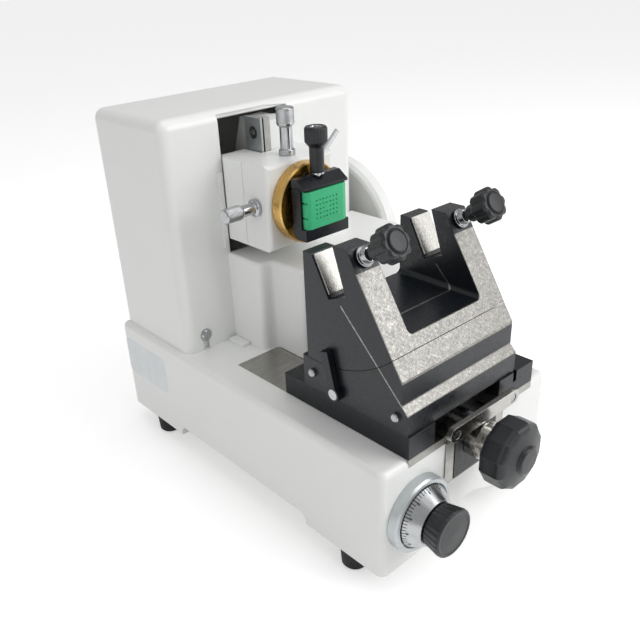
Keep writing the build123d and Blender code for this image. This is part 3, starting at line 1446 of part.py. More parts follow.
def star_knob(x):
    """Eight-lobed clamp knob moulded on its screw, with a short hub and a flat round cap."""
    star_round(x, 4 - STAR_DEPTH, STAR_DEPTH + STAR_ROOT - 4, STAR_SCREW_R)
    star_round(x, STAR_ROOT, 9, 6)
    with BuildSketch(star_plane(x, STAR_ROOT + 9)) as lobes:
        Circle(STAR_R - 1.6)
        with PolarLocations(STAR_R - 2.4, STAR_LOBES):
            Circle(2.4)
    extrude(lobes.sketch, amount=STAR_T)
    star_round(x, STAR_ROOT + 9 + STAR_T, 1.2, STAR_R - 4.5)


with BuildPart() as star_knob_left:
    star_knob(STAR_X[0])

with BuildPart() as star_knob_right:
    star_knob(STAR_X[1])

# Every piece, under the name that it is filed by
PIECES = {
    "base_casting": base_casting,
    "bottom_plate": bottom_plate,
    "rubber_feet": rubber_feet,
    "slide_bed": slide_bed,
    "bed_rails": bed_rails,
    "window_frame": window_frame,
    "screw_block": screw_block,
    "coarse_screw": coarse_screw,
    "coarse_knob": coarse_knob,
    "dial_bezel": dial_bezel,
    "dial_drum": dial_drum,
    "dial_knob": dial_knob,
    "dial_shaft": dial_shaft,
    "tower_cover": tower_cover,
    "head_guard": head_guard,
    "guide_column": guide_column,
    "guide_rail": guide_rail,
    "gib_plate": gib_plate,
    "shaft_bracket": shaft_bracket,
    "main_bearings": main_bearings,
    "frame_screws": frame_screws,
    "main_shaft": main_shaft,
    "crank_disc": crank_disc,
    "handwheel": handwheel,
    "wheel_fittings": wheel_fittings,
    "handle_grip": handle_grip,
    "carriage": carriage,
    "carriage_gib": carriage_gib,
    "left_keeper": left_keeper,
    "carriage_yoke": carriage_yoke,
    "feed_screw": feed_screw,
    "ratchet_wheel": ratchet_wheel,
    "feed_pawl": feed_pawl,
    "head_block": head_block,
    "feed_nut": feed_nut,
    "guide_rods": guide_rods,
    "swivel_ring": swivel_ring,
    "tilt_ball": tilt_ball,
    "socket_cap": socket_cap,
    "cap_screws": cap_screws,
    "lock_ring": lock_ring,
    "tilt_knob": tilt_knob,
    "swivel_knob": swivel_knob,
    "clamp_body": clamp_body,
    "clamp_jaw": clamp_jaw,
    "clamp_knob": clamp_knob,
    "clamp_screw": clamp_screw,
    "cassette": cassette,
    "knife_base": knife_base,
    "coarse_nut": coarse_nut,
    "front_bracket": front_bracket,
    "knife_screws": knife_screws,
    "stop_pin": stop_pin,
    "tilt_seat": tilt_seat,
    "tilt_clamp_shaft": tilt_clamp_shaft,
    "tilt_lever": tilt_lever,
    "knife_cradle": knife_cradle,
    "knife_pads": knife_pads,
    "star_knob_left": star_knob_left,
    "star_knob_right": star_knob_right,
}

os.makedirs("parts", exist_ok=True)
for name, piece in PIECES.items():
    piece.part.label = name
    export_step(piece.part, f"parts/{name}.step")
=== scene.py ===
"""Looks of a small rotary microtome: finishes, fine pieces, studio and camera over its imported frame."""
from math import cos, pi, radians, sin

import bmesh
import bpy
import numpy as np
from bpy.props import FloatProperty, FloatVectorProperty, IntProperty, PointerProperty
from mathutils import Matrix, Vector


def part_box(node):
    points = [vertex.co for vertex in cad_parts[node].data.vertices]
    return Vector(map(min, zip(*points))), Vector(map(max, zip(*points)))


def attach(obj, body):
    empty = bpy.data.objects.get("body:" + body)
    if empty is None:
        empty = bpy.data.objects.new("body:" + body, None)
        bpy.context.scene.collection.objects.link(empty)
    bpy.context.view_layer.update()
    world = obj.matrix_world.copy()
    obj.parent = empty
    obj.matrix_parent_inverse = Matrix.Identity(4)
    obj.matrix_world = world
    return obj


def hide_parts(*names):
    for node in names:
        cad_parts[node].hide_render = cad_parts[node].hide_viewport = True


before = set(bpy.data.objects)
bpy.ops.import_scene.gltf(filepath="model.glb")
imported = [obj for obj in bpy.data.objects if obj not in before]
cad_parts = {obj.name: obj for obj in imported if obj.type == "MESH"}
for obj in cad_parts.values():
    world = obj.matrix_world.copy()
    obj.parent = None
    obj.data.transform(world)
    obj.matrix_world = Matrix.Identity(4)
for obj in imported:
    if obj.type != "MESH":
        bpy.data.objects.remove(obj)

bl_info = {
    "name": "Rotary Microtome Looks",
    "version": (1, 0, 0),
    "blender": (4, 5, 0),
    "location": "View3D > Sidebar > Microtome",
    "description": "Finishes and fine pieces of a small rotary microtome, with its studio",
    "category": "Object",
}

# The base casting's left front bottom corner: places below are millimetres from it
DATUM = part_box("base_casting")[0]
MM = 0.001
FORWARD, LEFTWARD, UPWARD = (0, -1, 0), (-1, 0, 0), (0, 0, 1)


def spot(node, x, y, z):
    """Point of a node's box at rest, in millimetres from the datum.

    Each share runs from 0 at the box's low side to 1 at its high side. The point is rounded to a
    hundredth of a millimetre, because the box is measured on flat facets.
    """
    low, high = np.array(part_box(node))
    point = (low + (high - low) * (x, y, z) - DATUM) / MM
    return tuple(round(float(value), 2) for value in point)


# Seats that the frame gives: where the axis of each knob, and of the brass cap, leaves what carries it
DIAL_SEAT = spot("dial_knob", 0.5, 1, 0.5)
CAP_FRONT = spot("socket_cap", 0.5, 0, 0.5)
COARSE_SEAT = spot("coarse_knob", 0.5, 1, 0.5)
TILT_SEAT = (*spot("tilt_knob", 0.5, 0.5, 0)[:2], spot("head_block", 0.5, 0.5, 1)[2])
SWIVEL_SEAT = (spot("head_block", 0, 0.5, 0.5)[0], *spot("swivel_knob", 1, 0.5, 0.5)[1:])
JAW_TOP = spot("clamp_jaw", 0.5, 0.5, 1)
CLAMP_SEAT = (JAW_TOP[0], spot("clamp_knob", 0.5, 0.5, 0)[1], JAW_TOP[2])
STAR_X = {side: spot(f"star_knob_{side}", 0.5, 0.5, 0.5)[0] for side in ("left", "right")}

# Places that no box gives, in those millimetres
STAR_SEAT = (48.5, 212.7)  # y and z where a star knob's axis leaves its post
STAR_ANGLE = radians(31.8)  # from level, for that axis
DRUM_CONE = ((-8.5, 23.5), (-19.0, 17.0))  # y and radius at the rear and at the front
LABEL_MIDDLE = (293.0, 54.0)  # y and z on the base's left side

# Bare ground faces of the knife holder, as planes: a direction across the face, its distance that
# way and half the depth that shows bare, and then how far back and how high the faces go
GROUND_FACES = (((0, -0.851, 0.526), 69.55, 0.75), ((0, -1, 1), 118.8, 0.8))
GROUND_REAR_Y = 60.0
GROUND_TOP_Z = 205.0

# Camera and soft lights, in metres: the camera's place and its right, up and back directions, then
# each softbox's place and width, and the point that all of them look at
CAMERA_PLACE = (-0.411834, -0.397135, 0.399617)
CAMERA_AXES = (
    (0.746644, -0.663340, -0.050024),
    (0.339213, 0.314967, 0.886414),
    (-0.572238, -0.678805, 0.460182),
)
CAMERA_SHIFT = (0.03125, 0.025)
SOFTBOXES = {
    "key": ((0.75, -1.25, 1.0), 1.1),
    "side": ((-1.5, -0.2, 0.7), 0.8),
    "top": ((0.1, -0.2, 1.5), 1.2),
}
LIGHTS_AIM = Vector((0, 0, 0.14))
FLOOR_REACH = 12.0

# Angle between two faces from which their edge is drawn sharp
SHARP_FROM = radians(38)


def srgb(code):
    """Linear colour of a hex code written as it looks on a screen."""
    parts = np.array([int(code[i : i + 2], 16) for i in (1, 3, 5)]) / 255
    linear = np.where(parts <= 0.04045, parts / 12.92, ((parts + 0.055) / 1.055) ** 2.4)
    return tuple(float(c) for c in linear)


def hue(name, code, description):
    """Colour property whose default is a hex code."""
    return FloatVectorProperty(
        name=name, description=description, subtype="COLOR", size=3, min=0, max=1, default=srgb(code)
    )


def length(name, millimetres, description):
    """Length property whose default is given in millimetres."""
    return FloatProperty(
        name=name, description=description, unit="LENGTH", min=0, precision=4, default=millimetres * MM
    )


class MicrotomeColours(bpy.types.PropertyGroup):
    """Colours of the finishes."""

    enamel: hue("Enamel", "#f1f2f0", "Base, cover, guard, head, guide, carriage and handwheel")
    # The blue in this black is a painted reflection of the bright surroundings, laid into the colour
    black: hue("Black Anodising", "#0b0f15", "Knife base and knife holder")
    steel: hue("Ground Steel", "#b9b7b2", "Ground faces, pads, bed, rails and shafts")
    chrome: hue("Chrome", "#b9bbbd", "Orientation knobs, screws, rods and scale drum")
    brass: hue("Brass", "#b08a3c", "Socket cap and lock ring on the head, and the feed nuts")
    plastic: hue("Black Plastic", "#17191c", "Knobs and grip")
    green: hue("Cassette", "#43c68a", "Tissue cassette")
    iron: hue("Painted Iron", "#6d6f70", "Shaft bracket inside the tower")
    rubber: hue("Rubber", "#101011", "Feet")
    bezel: hue("Bezel", "#c3c8ca", "Ring round the dial and the guide's gib plate")
    film: hue("Blank Label", "#dfe3e5", "Blank plate on the base's left side")


class MicrotomeSizes(bpy.types.PropertyGroup):
    """Sizes of the fine pieces."""

    star_radius: length("Star Knob Radius", 12.0, "From the axis to the tip of a lobe")
    star_lobes: IntProperty(
        name="Star Knob Lobes", description="Lobes round a star knob", default=8, min=5, max=12
    )
    lobe_depth: length("Lobe Depth", 1.5, "How far the hollows between lobes go in")
    coarse_radius: length("Coarse Knob Radius", 25.5, "From the axis to the knob's rim")
    coarse_flutes: IntProperty(
        name="Coarse Knob Flutes", description="Finger hollows round the rim", default=12, min=6, max=24
    )
    flute_depth: length("Flute Depth", 1.0, "How deep the finger hollows are")
    dial_ribs: IntProperty(
        name="Dial Knob Ribs", description="Fine ribs round the dial knob", default=26, min=12, max=80
    )
    knurl_pitch: length("Knurl Pitch", 1.3, "From one knurled diamond to the next")
    knurl_height: length("Knurl Height", 0.28, "From valley to tip of the knurling")
    figure_height: length("Dial Figure Height", 2.4, "Height of the plain numbers on the dial")
    label_width: length("Label Width", 66.0, "Blank plate from front to rear")
    label_height: length("Label Height", 36.0, "Blank plate from bottom to top")


class MicrotomeStudio(bpy.types.PropertyGroup):
    """Light and camera."""

    key_power: FloatProperty(
        name="Key Light", description="Softbox at the front right", unit="POWER", default=13.0, min=0
    )
    side_power: FloatProperty(
        name="Side Light", description="Softbox at the left", unit="POWER", default=1.8, min=0
    )
    top_power: FloatProperty(
        name="Top Light", description="Soft light from above", unit="POWER", default=4.2, min=0
    )
    ambient: FloatProperty(
        name="Ambient", description="Even light from all round", default=0.5, min=0, max=2
    )
    floor_glow: FloatProperty(
        name="Floor Glow", description="Lift that turns the lit floor white", default=0.42, min=0, max=1
    )
    lens: FloatProperty(
        name="Lens", description="Focal length for a 36 mm wide picture", default=41.296, min=1
    )


# Finishes


def add(tree, kind, inputs=None, **settings):
    """A shader node with its settings; an input takes a value, a socket, or a node for its output in use."""
    node = tree.nodes.new("ShaderNode" + kind)
    for key, value in settings.items():
        setattr(node, key, value)
    for key, value in (inputs or {}).items():
        socket = node.inputs[key]
        if isinstance(value, bpy.types.Node):
            value = next(output for output in value.outputs if output.enabled)
        if isinstance(value, bpy.types.NodeSocket):
            tree.links.new(value, socket)
        elif socket.type == "RGBA":
            socket.default_value = (*value, 1)
        else:
            socket.default_value = value
    return node


def new_finish(name):
    """Material with an empty node tree."""
    material = bpy.data.materials.new(name)
    material.use_nodes = True
    material.node_tree.nodes.clear()
    return material, material.node_tree


def surface(tree, **sockets):
    """Principled shader, with values and links by socket name, and the output that it feeds."""
    names = {key.replace("_", " "): value for key, value in sockets.items()}
    add(tree, "OutputMaterial", {"Surface": add(tree, "BsdfPrincipled", names)})


def place(tree, centre=(0, 0, 0), turn=(0, 0, 0), stretch=(1, 1, 1)):
    """Millimetres from a centre given from the datum, turned and stretched for a pattern."""
    shift = [-(DATUM[i] + centre[i] * MM) / MM for i in range(3)]
    coords = add(tree, "TexCoord").outputs["Object"]
    sized = add(tree, "VectorMath", {0: coords, 1: (1 / MM,) * 3, 2: shift}, operation="MULTIPLY_ADD")
    if turn == (0, 0, 0) and stretch == (1, 1, 1):
        return sized
    turned_by = add(tree, "Mapping", {"Vector": sized, "Rotation": turn}, vector_type="POINT")
    return add(tree, "VectorMath", {0: turned_by, 1: stretch}, operation="MULTIPLY")


def from_axis(tree, here):
    """Distance from the axis that runs along y through the centre of these coordinates."""
    flat = add(tree, "VectorMath", {0: here, 1: (1, 0, 1)}, operation="MULTIPLY")
    return add(tree, "VectorMath", {0: flat}, operation="LENGTH")


def patches(tree, here, size, low, high, start=0.0, end=1.0, detail=3.0):
    """Soft patches this many millimetres wide: noise from low..high taken to start..end and held there."""
    noise = add(tree, "TexNoise", {"Vector": here, "Scale": 1 / size, "Detail": detail})
    return add(tree, "MapRange", {0: noise, 1: low, 2: high, 3: start, 4: end})


def clouded(tree, here, size, low, high, colour, factor, detail=3.0):
    """Colour that is multiplied by the factor in soft patches."""
    share = patches(tree, here, size, low, high, detail=detail)
    return add(tree, "Mix", {0: share, 6: colour, 7: [c * factor for c in colour]}, data_type="RGBA")


def worked(tree, height, depth, strength, edge):
    """Normal with a relief this deep, and with edges rounded so that each catches a thin light.

    Pores, blasting grain and grinding marks are really a few hundredths of a millimetre apart. The
    finishes draw them about half a millimetre apart, so that they show.
    """
    rounded = add(tree, "Bevel", {"Radius": edge * MM}, samples=4)
    inputs = {"Height": height, "Distance": depth * MM, "Strength": strength, "Normal": rounded}
    return add(tree, "Bump", inputs)


def scratches(tree, lean, pitch):
    """Fine straight marks a pitch apart that run at one angle in an upright face, from 0 to 1."""
    here = place(tree, turn=(0.0, lean, 0.0), stretch=(0.06 / pitch, 0.4 / pitch, 1 / pitch))
    return add(tree, "TexNoise", {"Vector": here, "Scale": 1.0, "Detail": 3.0, "Roughness": 0.6})


def enamel_finish(colours):
    """Stove enamel on cast aluminium: glossy off-white with a faint orange peel, duller where handled."""
    material, tree = new_finish("stove_enamel_white")
    here = place(tree)
    peel = add(tree, "TexNoise", {"Vector": here, "Scale": 1 / 1.6})
    surface(
        tree,
        Base_Color=clouded(tree, here, 45.0, 0.35, 0.7, colours.enamel, 0.985),
        Roughness=patches(tree, here, 14.0, 0.3, 0.75, 0.3, 0.38),
        Normal=worked(tree, peel, 0.02, 0.2, edge=0.9),
        Coat_Weight=0.2,
        Coat_Roughness=0.15,
    )
    return material


def ground_steel_marks(tree):
    """Grinding marks crossed at two angles, as a face dressed on a wheel and then rubbed shows."""
    one = add(tree, "MapRange", {0: scratches(tree, 0.6, 0.55), 1: 0.38, 2: 0.62})
    two = add(tree, "MapRange", {0: scratches(tree, -0.72, 0.7), 1: 0.36, 2: 0.66})
    return add(tree, "Math", {0: one, 1: two}, operation="MULTIPLY")


def ground_faces(tree, here):
    """1 on the knife holder's bare ground faces and 0 everywhere else on it."""
    _, y, z = add(tree, "SeparateXYZ", {0: here}).outputs
    front = add(tree, "Math", {0: y, 1: GROUND_REAR_Y}, operation="LESS_THAN")
    below = add(tree, "Math", {0: z, 1: GROUND_TOP_Z}, operation="LESS_THAN")
    faces = []
    for across, distance, slack in GROUND_FACES:
        along = add(tree, "VectorMath", {0: here, 1: across}, operation="DOT_PRODUCT")
        faces.append(add(tree, "Math", {0: along, 1: distance, 2: slack}, operation="COMPARE"))
    either = add(tree, "Math", {0: faces[0], 1: faces[1]}, operation="MAXIMUM")
    reach = add(tree, "Math", {0: front, 1: below}, operation="MULTIPLY")
    return add(tree, "Math", {0: either, 1: reach}, operation="MULTIPLY")


def black_finish(colours, bare=False):
    """Black anodised aluminium: deep satin black whose cool blue tint is a painted reflection; ground faces
    show bare crossed marks.
    """
    material, tree = new_finish("anodised_black_ground" if bare else "anodised_black")
    here = place(tree)
    # The cool blue tint of this black is a painted reflection
    black = clouded(tree, here, 9.0, 0.3, 0.7, colours.black, 1.4, detail=4.0)
    satin = patches(tree, here, 2.5, 0.3, 0.7, 0.26, 0.4)
    fine = add(tree, "TexNoise", {"Vector": here, "Scale": 1 / 0.5})
    if not bare:
        normal = worked(tree, fine, 0.02, 0.25, edge=0.5)
        surface(tree, Base_Color=black, Roughness=satin, Normal=normal, Specular_IOR_Level=0.4)
        return material
    ground = ground_faces(tree, here)
    marks = ground_steel_marks(tree)
    dark = [c * 0.45 for c in colours.steel]
    steel = add(tree, "Mix", {0: marks, 6: dark, 7: colours.steel}, data_type="RGBA")
    bare_marks = add(tree, "Math", {0: marks, 1: ground}, operation="MULTIPLY")
    height = add(tree, "Math", {0: fine, 1: bare_marks}, operation="ADD")
    surface(
        tree,
        Base_Color=add(tree, "Mix", {0: ground, 6: black, 7: steel}, data_type="RGBA"),
        Roughness=add(tree, "Math", {0: ground, 1: 0.08, 2: satin}, operation="MULTIPLY_ADD"),
        Metallic=ground,
        Normal=worked(tree, height, 0.03, 0.35, edge=0.5),
    )
    return material


def steel_finish(colours, name="ground_steel", tone=1.0, rough=0.3, lean=1.5, pitch=0.5):
    """Ground tool steel: grey metal with fine straight marks along the grinding, lighter at its edges."""
    material, tree = new_finish(name)
    marks = scratches(tree, lean, pitch)
    light, middle, dark = ([c * tone * share for c in colours.steel] for share in (1.0, 0.7, 0.6))
    lines = add(tree, "MapRange", {0: marks, 1: 0.3, 2: 0.7})
    grey = add(tree, "Mix", {0: lines, 6: middle, 7: light}, data_type="RGBA")
    cloud = patches(tree, place(tree), 12.0, 0.35, 0.75, 0.0, 0.35)
    surface(
        tree,
        Base_Color=add(tree, "Mix", {0: cloud, 6: grey, 7: dark}, data_type="RGBA"),
        Metallic=1.0,
        Roughness=add(tree, "MapRange", {0: marks, 1: 0.3, 2: 0.7, 3: rough + 0.08, 4: rough - 0.06}),
        Normal=worked(tree, marks, 0.02, 0.3, edge=0.35),
    )
    return material


def chrome_finish(colours, name="chrome_plate", rough=0.1, tone=1.0):
    """Bright chrome plate on turned steel: mirror-like with faint smears from handling."""
    material, tree = new_finish(name)
    here = place(tree)
    light = [c * tone for c in colours.chrome]
    surface(
        tree,
        Base_Color=clouded(tree, here, 5.0, 0.3, 0.8, light, 0.86),
        Metallic=1.0,
        Roughness=patches(tree, here, 5.0, 0.35, 0.7, rough, rough + 0.12),
        Normal=add(tree, "Bevel", {"Radius": 0.25 * MM}, samples=4),
    )
    return material


def brass_finish(colours):
    """Turned brass, browned by oil: fine rings and a dark groove round the bore, and a bright rim.

    The lock ring's lever stands out past the rim, and is steel there.
    """
    ring_pitch, groove_radius, rim_radius, lever_from = 0.7, 17.5, 30.0, 31.8
    material, tree = new_finish("turned_brass")
    here = place(tree, CAP_FRONT)
    radius = from_axis(tree, here)
    cloud = patches(tree, here, 7.0, 0.3, 0.72, detail=4.0)
    rim = add(tree, "MapRange", {0: radius, 1: rim_radius, 2: rim_radius + 0.6})
    groove = add(tree, "Math", {0: radius, 1: groove_radius, 2: 0.35}, operation="COMPARE")
    lever = add(tree, "MapRange", {0: radius, 1: lever_from, 2: lever_from + 0.2})
    tone = [c * 0.7 for c in colours.brass]
    dark = [c * 0.35 for c in colours.brass]
    layers = ((cloud, colours.brass), (rim, srgb("#d9b26c")), (groove, dark), (lever, colours.chrome))
    for share, colour in layers:
        tone = add(tree, "Mix", {0: share, 6: tone, 7: colour}, data_type="RGBA")
    turns = add(tree, "Math", {0: radius, 1: 2 * pi / ring_pitch}, operation="MULTIPLY")
    rings = add(tree, "Math", {0: turns}, operation="SINE")
    surface(
        tree,
        Base_Color=tone,
        Metallic=1.0,
        Roughness=patches(tree, here, 3.0, 0.3, 0.7, 0.24, 0.42),
        Normal=worked(tree, rings, 0.02, 0.25, edge=0.3),
    )
    return material


def plastic_finish(colours, name="moulded_black_plastic", rough=0.36, tone=1.0):
    """Moulded thermoset plastic: black with a soft grain and a greyish bloom on worn parts."""
    material, tree = new_finish(name)
    here = place(tree)
    base = [c * tone for c in colours.plastic]
    pores = add(tree, "TexNoise", {"Vector": here, "Scale": 1 / 0.6})
    surface(
        tree,
        Base_Color=clouded(tree, here, 6.0, 0.35, 0.75, base, 1.7),
        Roughness=add(tree, "MapRange", {0: pores, 1: 0.3, 2: 0.7, 3: rough - 0.05, 4: rough + 0.08}),
        Normal=worked(tree, pores, 0.03, 0.3, edge=0.4),
    )
    return material


def cassette_finish(colours):
    """Injection-moulded acetal: opaque green, half matt, with light passing a little into its thin walls."""
    material, tree = new_finish("moulded_acetal_green")
    here = place(tree)
    pores = add(tree, "TexNoise", {"Vector": here, "Scale": 1 / 0.5})
    surface(
        tree,
        Base_Color=clouded(tree, here, 4.0, 0.3, 0.7, colours.green, 0.93, detail=2.0),
        Roughness=add(tree, "MapRange", {0: pores, 1: 0.3, 2: 0.7, 3: 0.42, 4: 0.55}),
        Normal=worked(tree, pores, 0.02, 0.3, edge=0.3),
        Subsurface_Weight=0.12,
        Subsurface_Scale=0.002,
    )
    return material


def iron_finish(colours):
    """Cast iron under thin grey machine paint: matt, a little pitted."""
    material, tree = new_finish("painted_cast_iron")
    here = place(tree)
    tone = clouded(tree, here, 11.0, 0.3, 0.75, colours.iron, 0.7, detail=4.0)
    pits = add(tree, "TexNoise", {"Vector": here, "Scale": 1 / 0.9, "Detail": 3.0})
    surface(tree, Base_Color=tone, Roughness=0.6, Normal=worked(tree, pits, 0.08, 0.4, edge=0.5))
    return material


def rubber_finish(colours):
    """Moulded rubber: dull near-black with dust on it."""
    material, tree = new_finish("moulded_rubber")
    here = place(tree)
    dust = patches(tree, here, 3.0, 0.45, 0.8, detail=4.0)
    tone = add(tree, "Mix", {0: dust, 6: colours.rubber, 7: srgb("#2b2b2c")}, data_type="RGBA")
    fine = add(tree, "TexNoise", {"Vector": here, "Scale": 1 / 0.7})
    normal = add(tree, "Bump", {"Height": fine, "Distance": 0.04 * MM, "Strength": 0.3})
    surface(tree, Base_Color=tone, Roughness=0.75, Normal=normal)
    return material


def bezel_finish(colours):
    """Bead-blasted and clear anodised aluminium: pale satin grey, even in all directions."""
    material, tree = new_finish("anodised_satin_bezel")
    here = place(tree)
    fine = add(tree, "TexNoise", {"Vector": here, "Scale": 1 / 0.5})
    surface(
        tree,
        Base_Color=clouded(tree, here, 8.0, 0.3, 0.75, colours.bezel, 0.88),
        Metallic=0.75,
        Roughness=add(tree, "MapRange", {0: fine, 1: 0.3, 2: 0.7, 3: 0.34, 4: 0.46}),
        Normal=worked(tree, fine, 0.02, 0.3, edge=0.4),
    )
    return material


def drum_finish(colours):
    """Satin chrome scale drum: bright metal with black-filled divisions, every fifth one longer."""
    material, tree = new_finish("satin_chrome_scale")
    here = place(tree, (DIAL_SEAT[0], 0.0, DIAL_SEAT[2]))
    radius = from_axis(tree, here)
    x, _, z = add(tree, "SeparateXYZ", {0: here}).outputs
    angle = add(tree, "Math", {0: z, 1: x}, operation="ARCTAN2")
    turn = add(tree, "Math", {0: angle, 1: 2 * pi}, operation="DIVIDE")

    def divisions(count, half_width, inner):
        """Radial lines from an inner radius out, each half_width of its division wide on either side."""
        counted = add(tree, "Math", {0: turn, 1: float(count)}, operation="MULTIPLY")
        beat = add(tree, "Math", {0: counted}, operation="FRACT")
        off_middle = add(tree, "Math", {0: beat, 1: 0.5}, operation="SUBTRACT")
        from_middle = add(tree, "Math", {0: off_middle}, operation="ABSOLUTE")
        line = add(tree, "Math", {0: from_middle, 1: 0.5 - half_width}, operation="GREATER_THAN")
        outside = add(tree, "Math", {0: radius, 1: inner}, operation="GREATER_THAN")
        return add(tree, "Math", {0: line, 1: outside}, operation="MULTIPLY")

    short = divisions(count=60, half_width=0.13, inner=21.9)
    long = divisions(count=12, half_width=0.03, inner=20.9)
    ticks = add(tree, "Math", {0: short, 1: long}, operation="MAXIMUM")
    bright = clouded(tree, here, 6.0, 0.3, 0.75, colours.chrome, 0.85)
    surface(
        tree,
        Base_Color=add(tree, "Mix", {0: ticks, 6: bright, 7: srgb("#131415")}, data_type="RGBA"),
        Metallic=add(tree, "Math", {0: 1.0, 1: ticks}, operation="SUBTRACT"),
        Roughness=patches(tree, here, 6.0, 0.3, 0.75, 0.2, 0.3),
        Normal=add(tree, "Bevel", {"Radius": 0.3 * MM}, samples=4),
    )
    return material


def film_finish(colours):
    """Blank metallised plate, printed with nothing: pale, slightly silver, with a faint wave in its film."""
    material, tree = new_finish("blank_metallised_film")
    here = place(tree)
    tone = clouded(tree, here, 16.0, 0.3, 0.7, colours.film, 0.9, detail=2.0)
    wave = add(tree, "TexNoise", {"Vector": here, "Scale": 1 / 16.0})
    normal = add(tree, "Bump", {"Height": wave, "Distance": 0.1 * MM, "Strength": 0.3})
    surface(tree, Base_Color=tone, Metallic=0.25, Roughness=0.35, Normal=normal)
    return material


def ink_finish():
    """Black engraving ink in the dial's figures: flat and matt."""
    material, tree = new_finish("engraving_ink")
    fine = patches(tree, place(tree), 0.8, 0.3, 0.7, detail=2.0)
    tone = add(tree, "Mix", {0: fine, 6: srgb("#121314"), 7: srgb("#1f2021")}, data_type="RGBA")
    surface(tree, Base_Color=tone, Roughness=0.6)
    return material


def finish_table(colours):
    """Every finish, by the short name that the pieces use."""
    return {
        "enamel": enamel_finish(colours),
        "black": black_finish(colours),
        "black_ground": black_finish(colours, bare=True),
        "steel": steel_finish(colours),
        "bed_steel": steel_finish(colours, "ground_steel_bed", 0.95, 0.34, 0.0, 0.6),
        "polished": steel_finish(colours, "polished_steel", 1.15, 0.18, 0.4, 0.4),
        "chrome": chrome_finish(colours),
        "screw": chrome_finish(colours, "nickelled_screw", 0.2, 0.85),
        "brass": brass_finish(colours),
        "plastic": plastic_finish(colours),
        "grip": plastic_finish(colours, "moulded_black_grip", 0.3, 0.9),
        "green": cassette_finish(colours),
        "iron": iron_finish(colours),
        "rubber": rubber_finish(colours),
        "bezel": bezel_finish(colours),
        "drum": drum_finish(colours),
        "film": film_finish(colours),
        "ink": ink_finish(),
    }


CAD_FINISHES = {
    "enamel": [
        "base_casting", "tower_cover", "head_guard", "head_block", "handwheel", "carriage", "guide_column",
    ],
    "black": ["knife_base", "clamp_body", "clamp_jaw", "screw_block", "clamp_knob", "tilt_lever"],
    "black_ground": ["knife_cradle", "tilt_seat"],
    "steel": [
        "knife_pads", "guide_rail", "carriage_gib", "left_keeper", "carriage_yoke", "guide_rods",
        "swivel_ring",
    ],
    "bed_steel": ["slide_bed", "window_frame", "bottom_plate", "main_bearings", "tilt_ball"],
    "polished": ["bed_rails", "front_bracket", "coarse_screw", "main_shaft", "feed_screw", "crank_disc"],
    "chrome": ["tilt_knob", "swivel_knob", "clamp_screw", "tilt_clamp_shaft", "dial_shaft", "wheel_fittings"],
    "screw": ["frame_screws", "cap_screws", "knife_screws", "stop_pin", "ratchet_wheel", "feed_pawl"],
    "brass": ["socket_cap", "lock_ring", "feed_nut", "coarse_nut"],
    "plastic": ["star_knob_left", "star_knob_right", "coarse_knob", "dial_knob"],
    "grip": ["handle_grip"],
    "green": ["cassette"],
    "iron": ["shaft_bracket"],
    "rubber": ["rubber_feet"],
    "bezel": ["dial_bezel", "gib_plate"],
    "drum": ["dial_drum"],
}


# Full name of each finish by its short name, filled in by the finishes operator
FINISH_NAMES = {}


def finish(name):
    """Material already made by the finishes operator."""
    return bpy.data.materials[FINISH_NAMES[name]]


# Surfaces


def softened(corners, reach, steps=4):
    """Profile with each inner corner turned into a parabola.

    The curve leaves one side `reach` millimetres before the corner, or just under half of a
    shorter side, and joins the next side as far after it: (1-t)^2 a + 2t(1-t) corner + t^2 b.
    """
    corners = np.asarray(corners, float)
    here = corners[1:-1]

    def towards(other):
        side = other - here
        size = np.linalg.norm(side, axis=1, keepdims=True)
        return here + side / size * np.minimum(reach, 0.45 * size)

    t = np.linspace(0, 1, steps)[None, :, None]
    start, end = towards(corners[:-2])[:, None], towards(corners[2:])[:, None]
    curve = (1 - t) ** 2 * start + 2 * t * (1 - t) * here[:, None] + t**2 * end
    return np.concatenate([corners[:1], curve.reshape(-1, 2), corners[-1:]])


def spaced(profile, step):
    """The same profile with points added along it, so that neighbours are at most a step apart."""
    run = np.concatenate([[0], np.cumsum(np.linalg.norm(np.diff(profile, axis=0), axis=1))])
    stations = np.union1d(run, np.arange(0, run[-1], step))
    return np.stack([np.interp(stations, run, profile[:, i]) for i in (0, 1)], axis=1)


def turned(profile, centre, axis, columns, carve=None):
    """Grid of a turned form, in millimetres from the datum.

    A point is centre + along * axis + (radius + carve) * (cos(turn) * side + sin(turn) * up),
    with (along, radius) from the profile and carve(turn, along, radius) the relief on it.
    """
    axis = Vector(axis).normalized()
    side = Vector((1, 0, 0)) if abs(axis.x) < 0.5 else Vector((0, 0, 1))
    up = axis.cross(side)
    turn = np.linspace(0, 2 * pi, columns, endpoint=False)[None]
    along, radius = profile[:, :1], profile[:, 1:]
    if carve is not None:
        radius = radius + carve(turn, along, radius)
    radius = np.broadcast_to(radius, (len(profile), columns))
    ring = np.cos(turn)[..., None] * np.array(side) + np.sin(turn)[..., None] * np.array(up)
    return np.array(centre) + along[..., None] * np.array(axis) + radius[..., None] * ring


def skin(name, grid, material, body, stands_for=()):
    """Piece from a grid of points: neighbours make quads, columns close on each other, doubles merge."""
    rows, columns = grid.shape[:2]
    index = np.arange(rows * columns).reshape(rows, columns)
    beside = np.roll(index, -1, axis=1)
    quads = np.stack([index[:-1], beside[:-1], beside[1:], index[1:]], axis=-1)
    points = grid.reshape(-1, 3) * MM + np.array(DATUM)
    mesh = bpy.data.meshes.new(name)
    mesh.from_pydata(points.tolist(), [], quads.reshape(-1, 4).tolist())
    settle(name, mesh, material, body, stands_for)


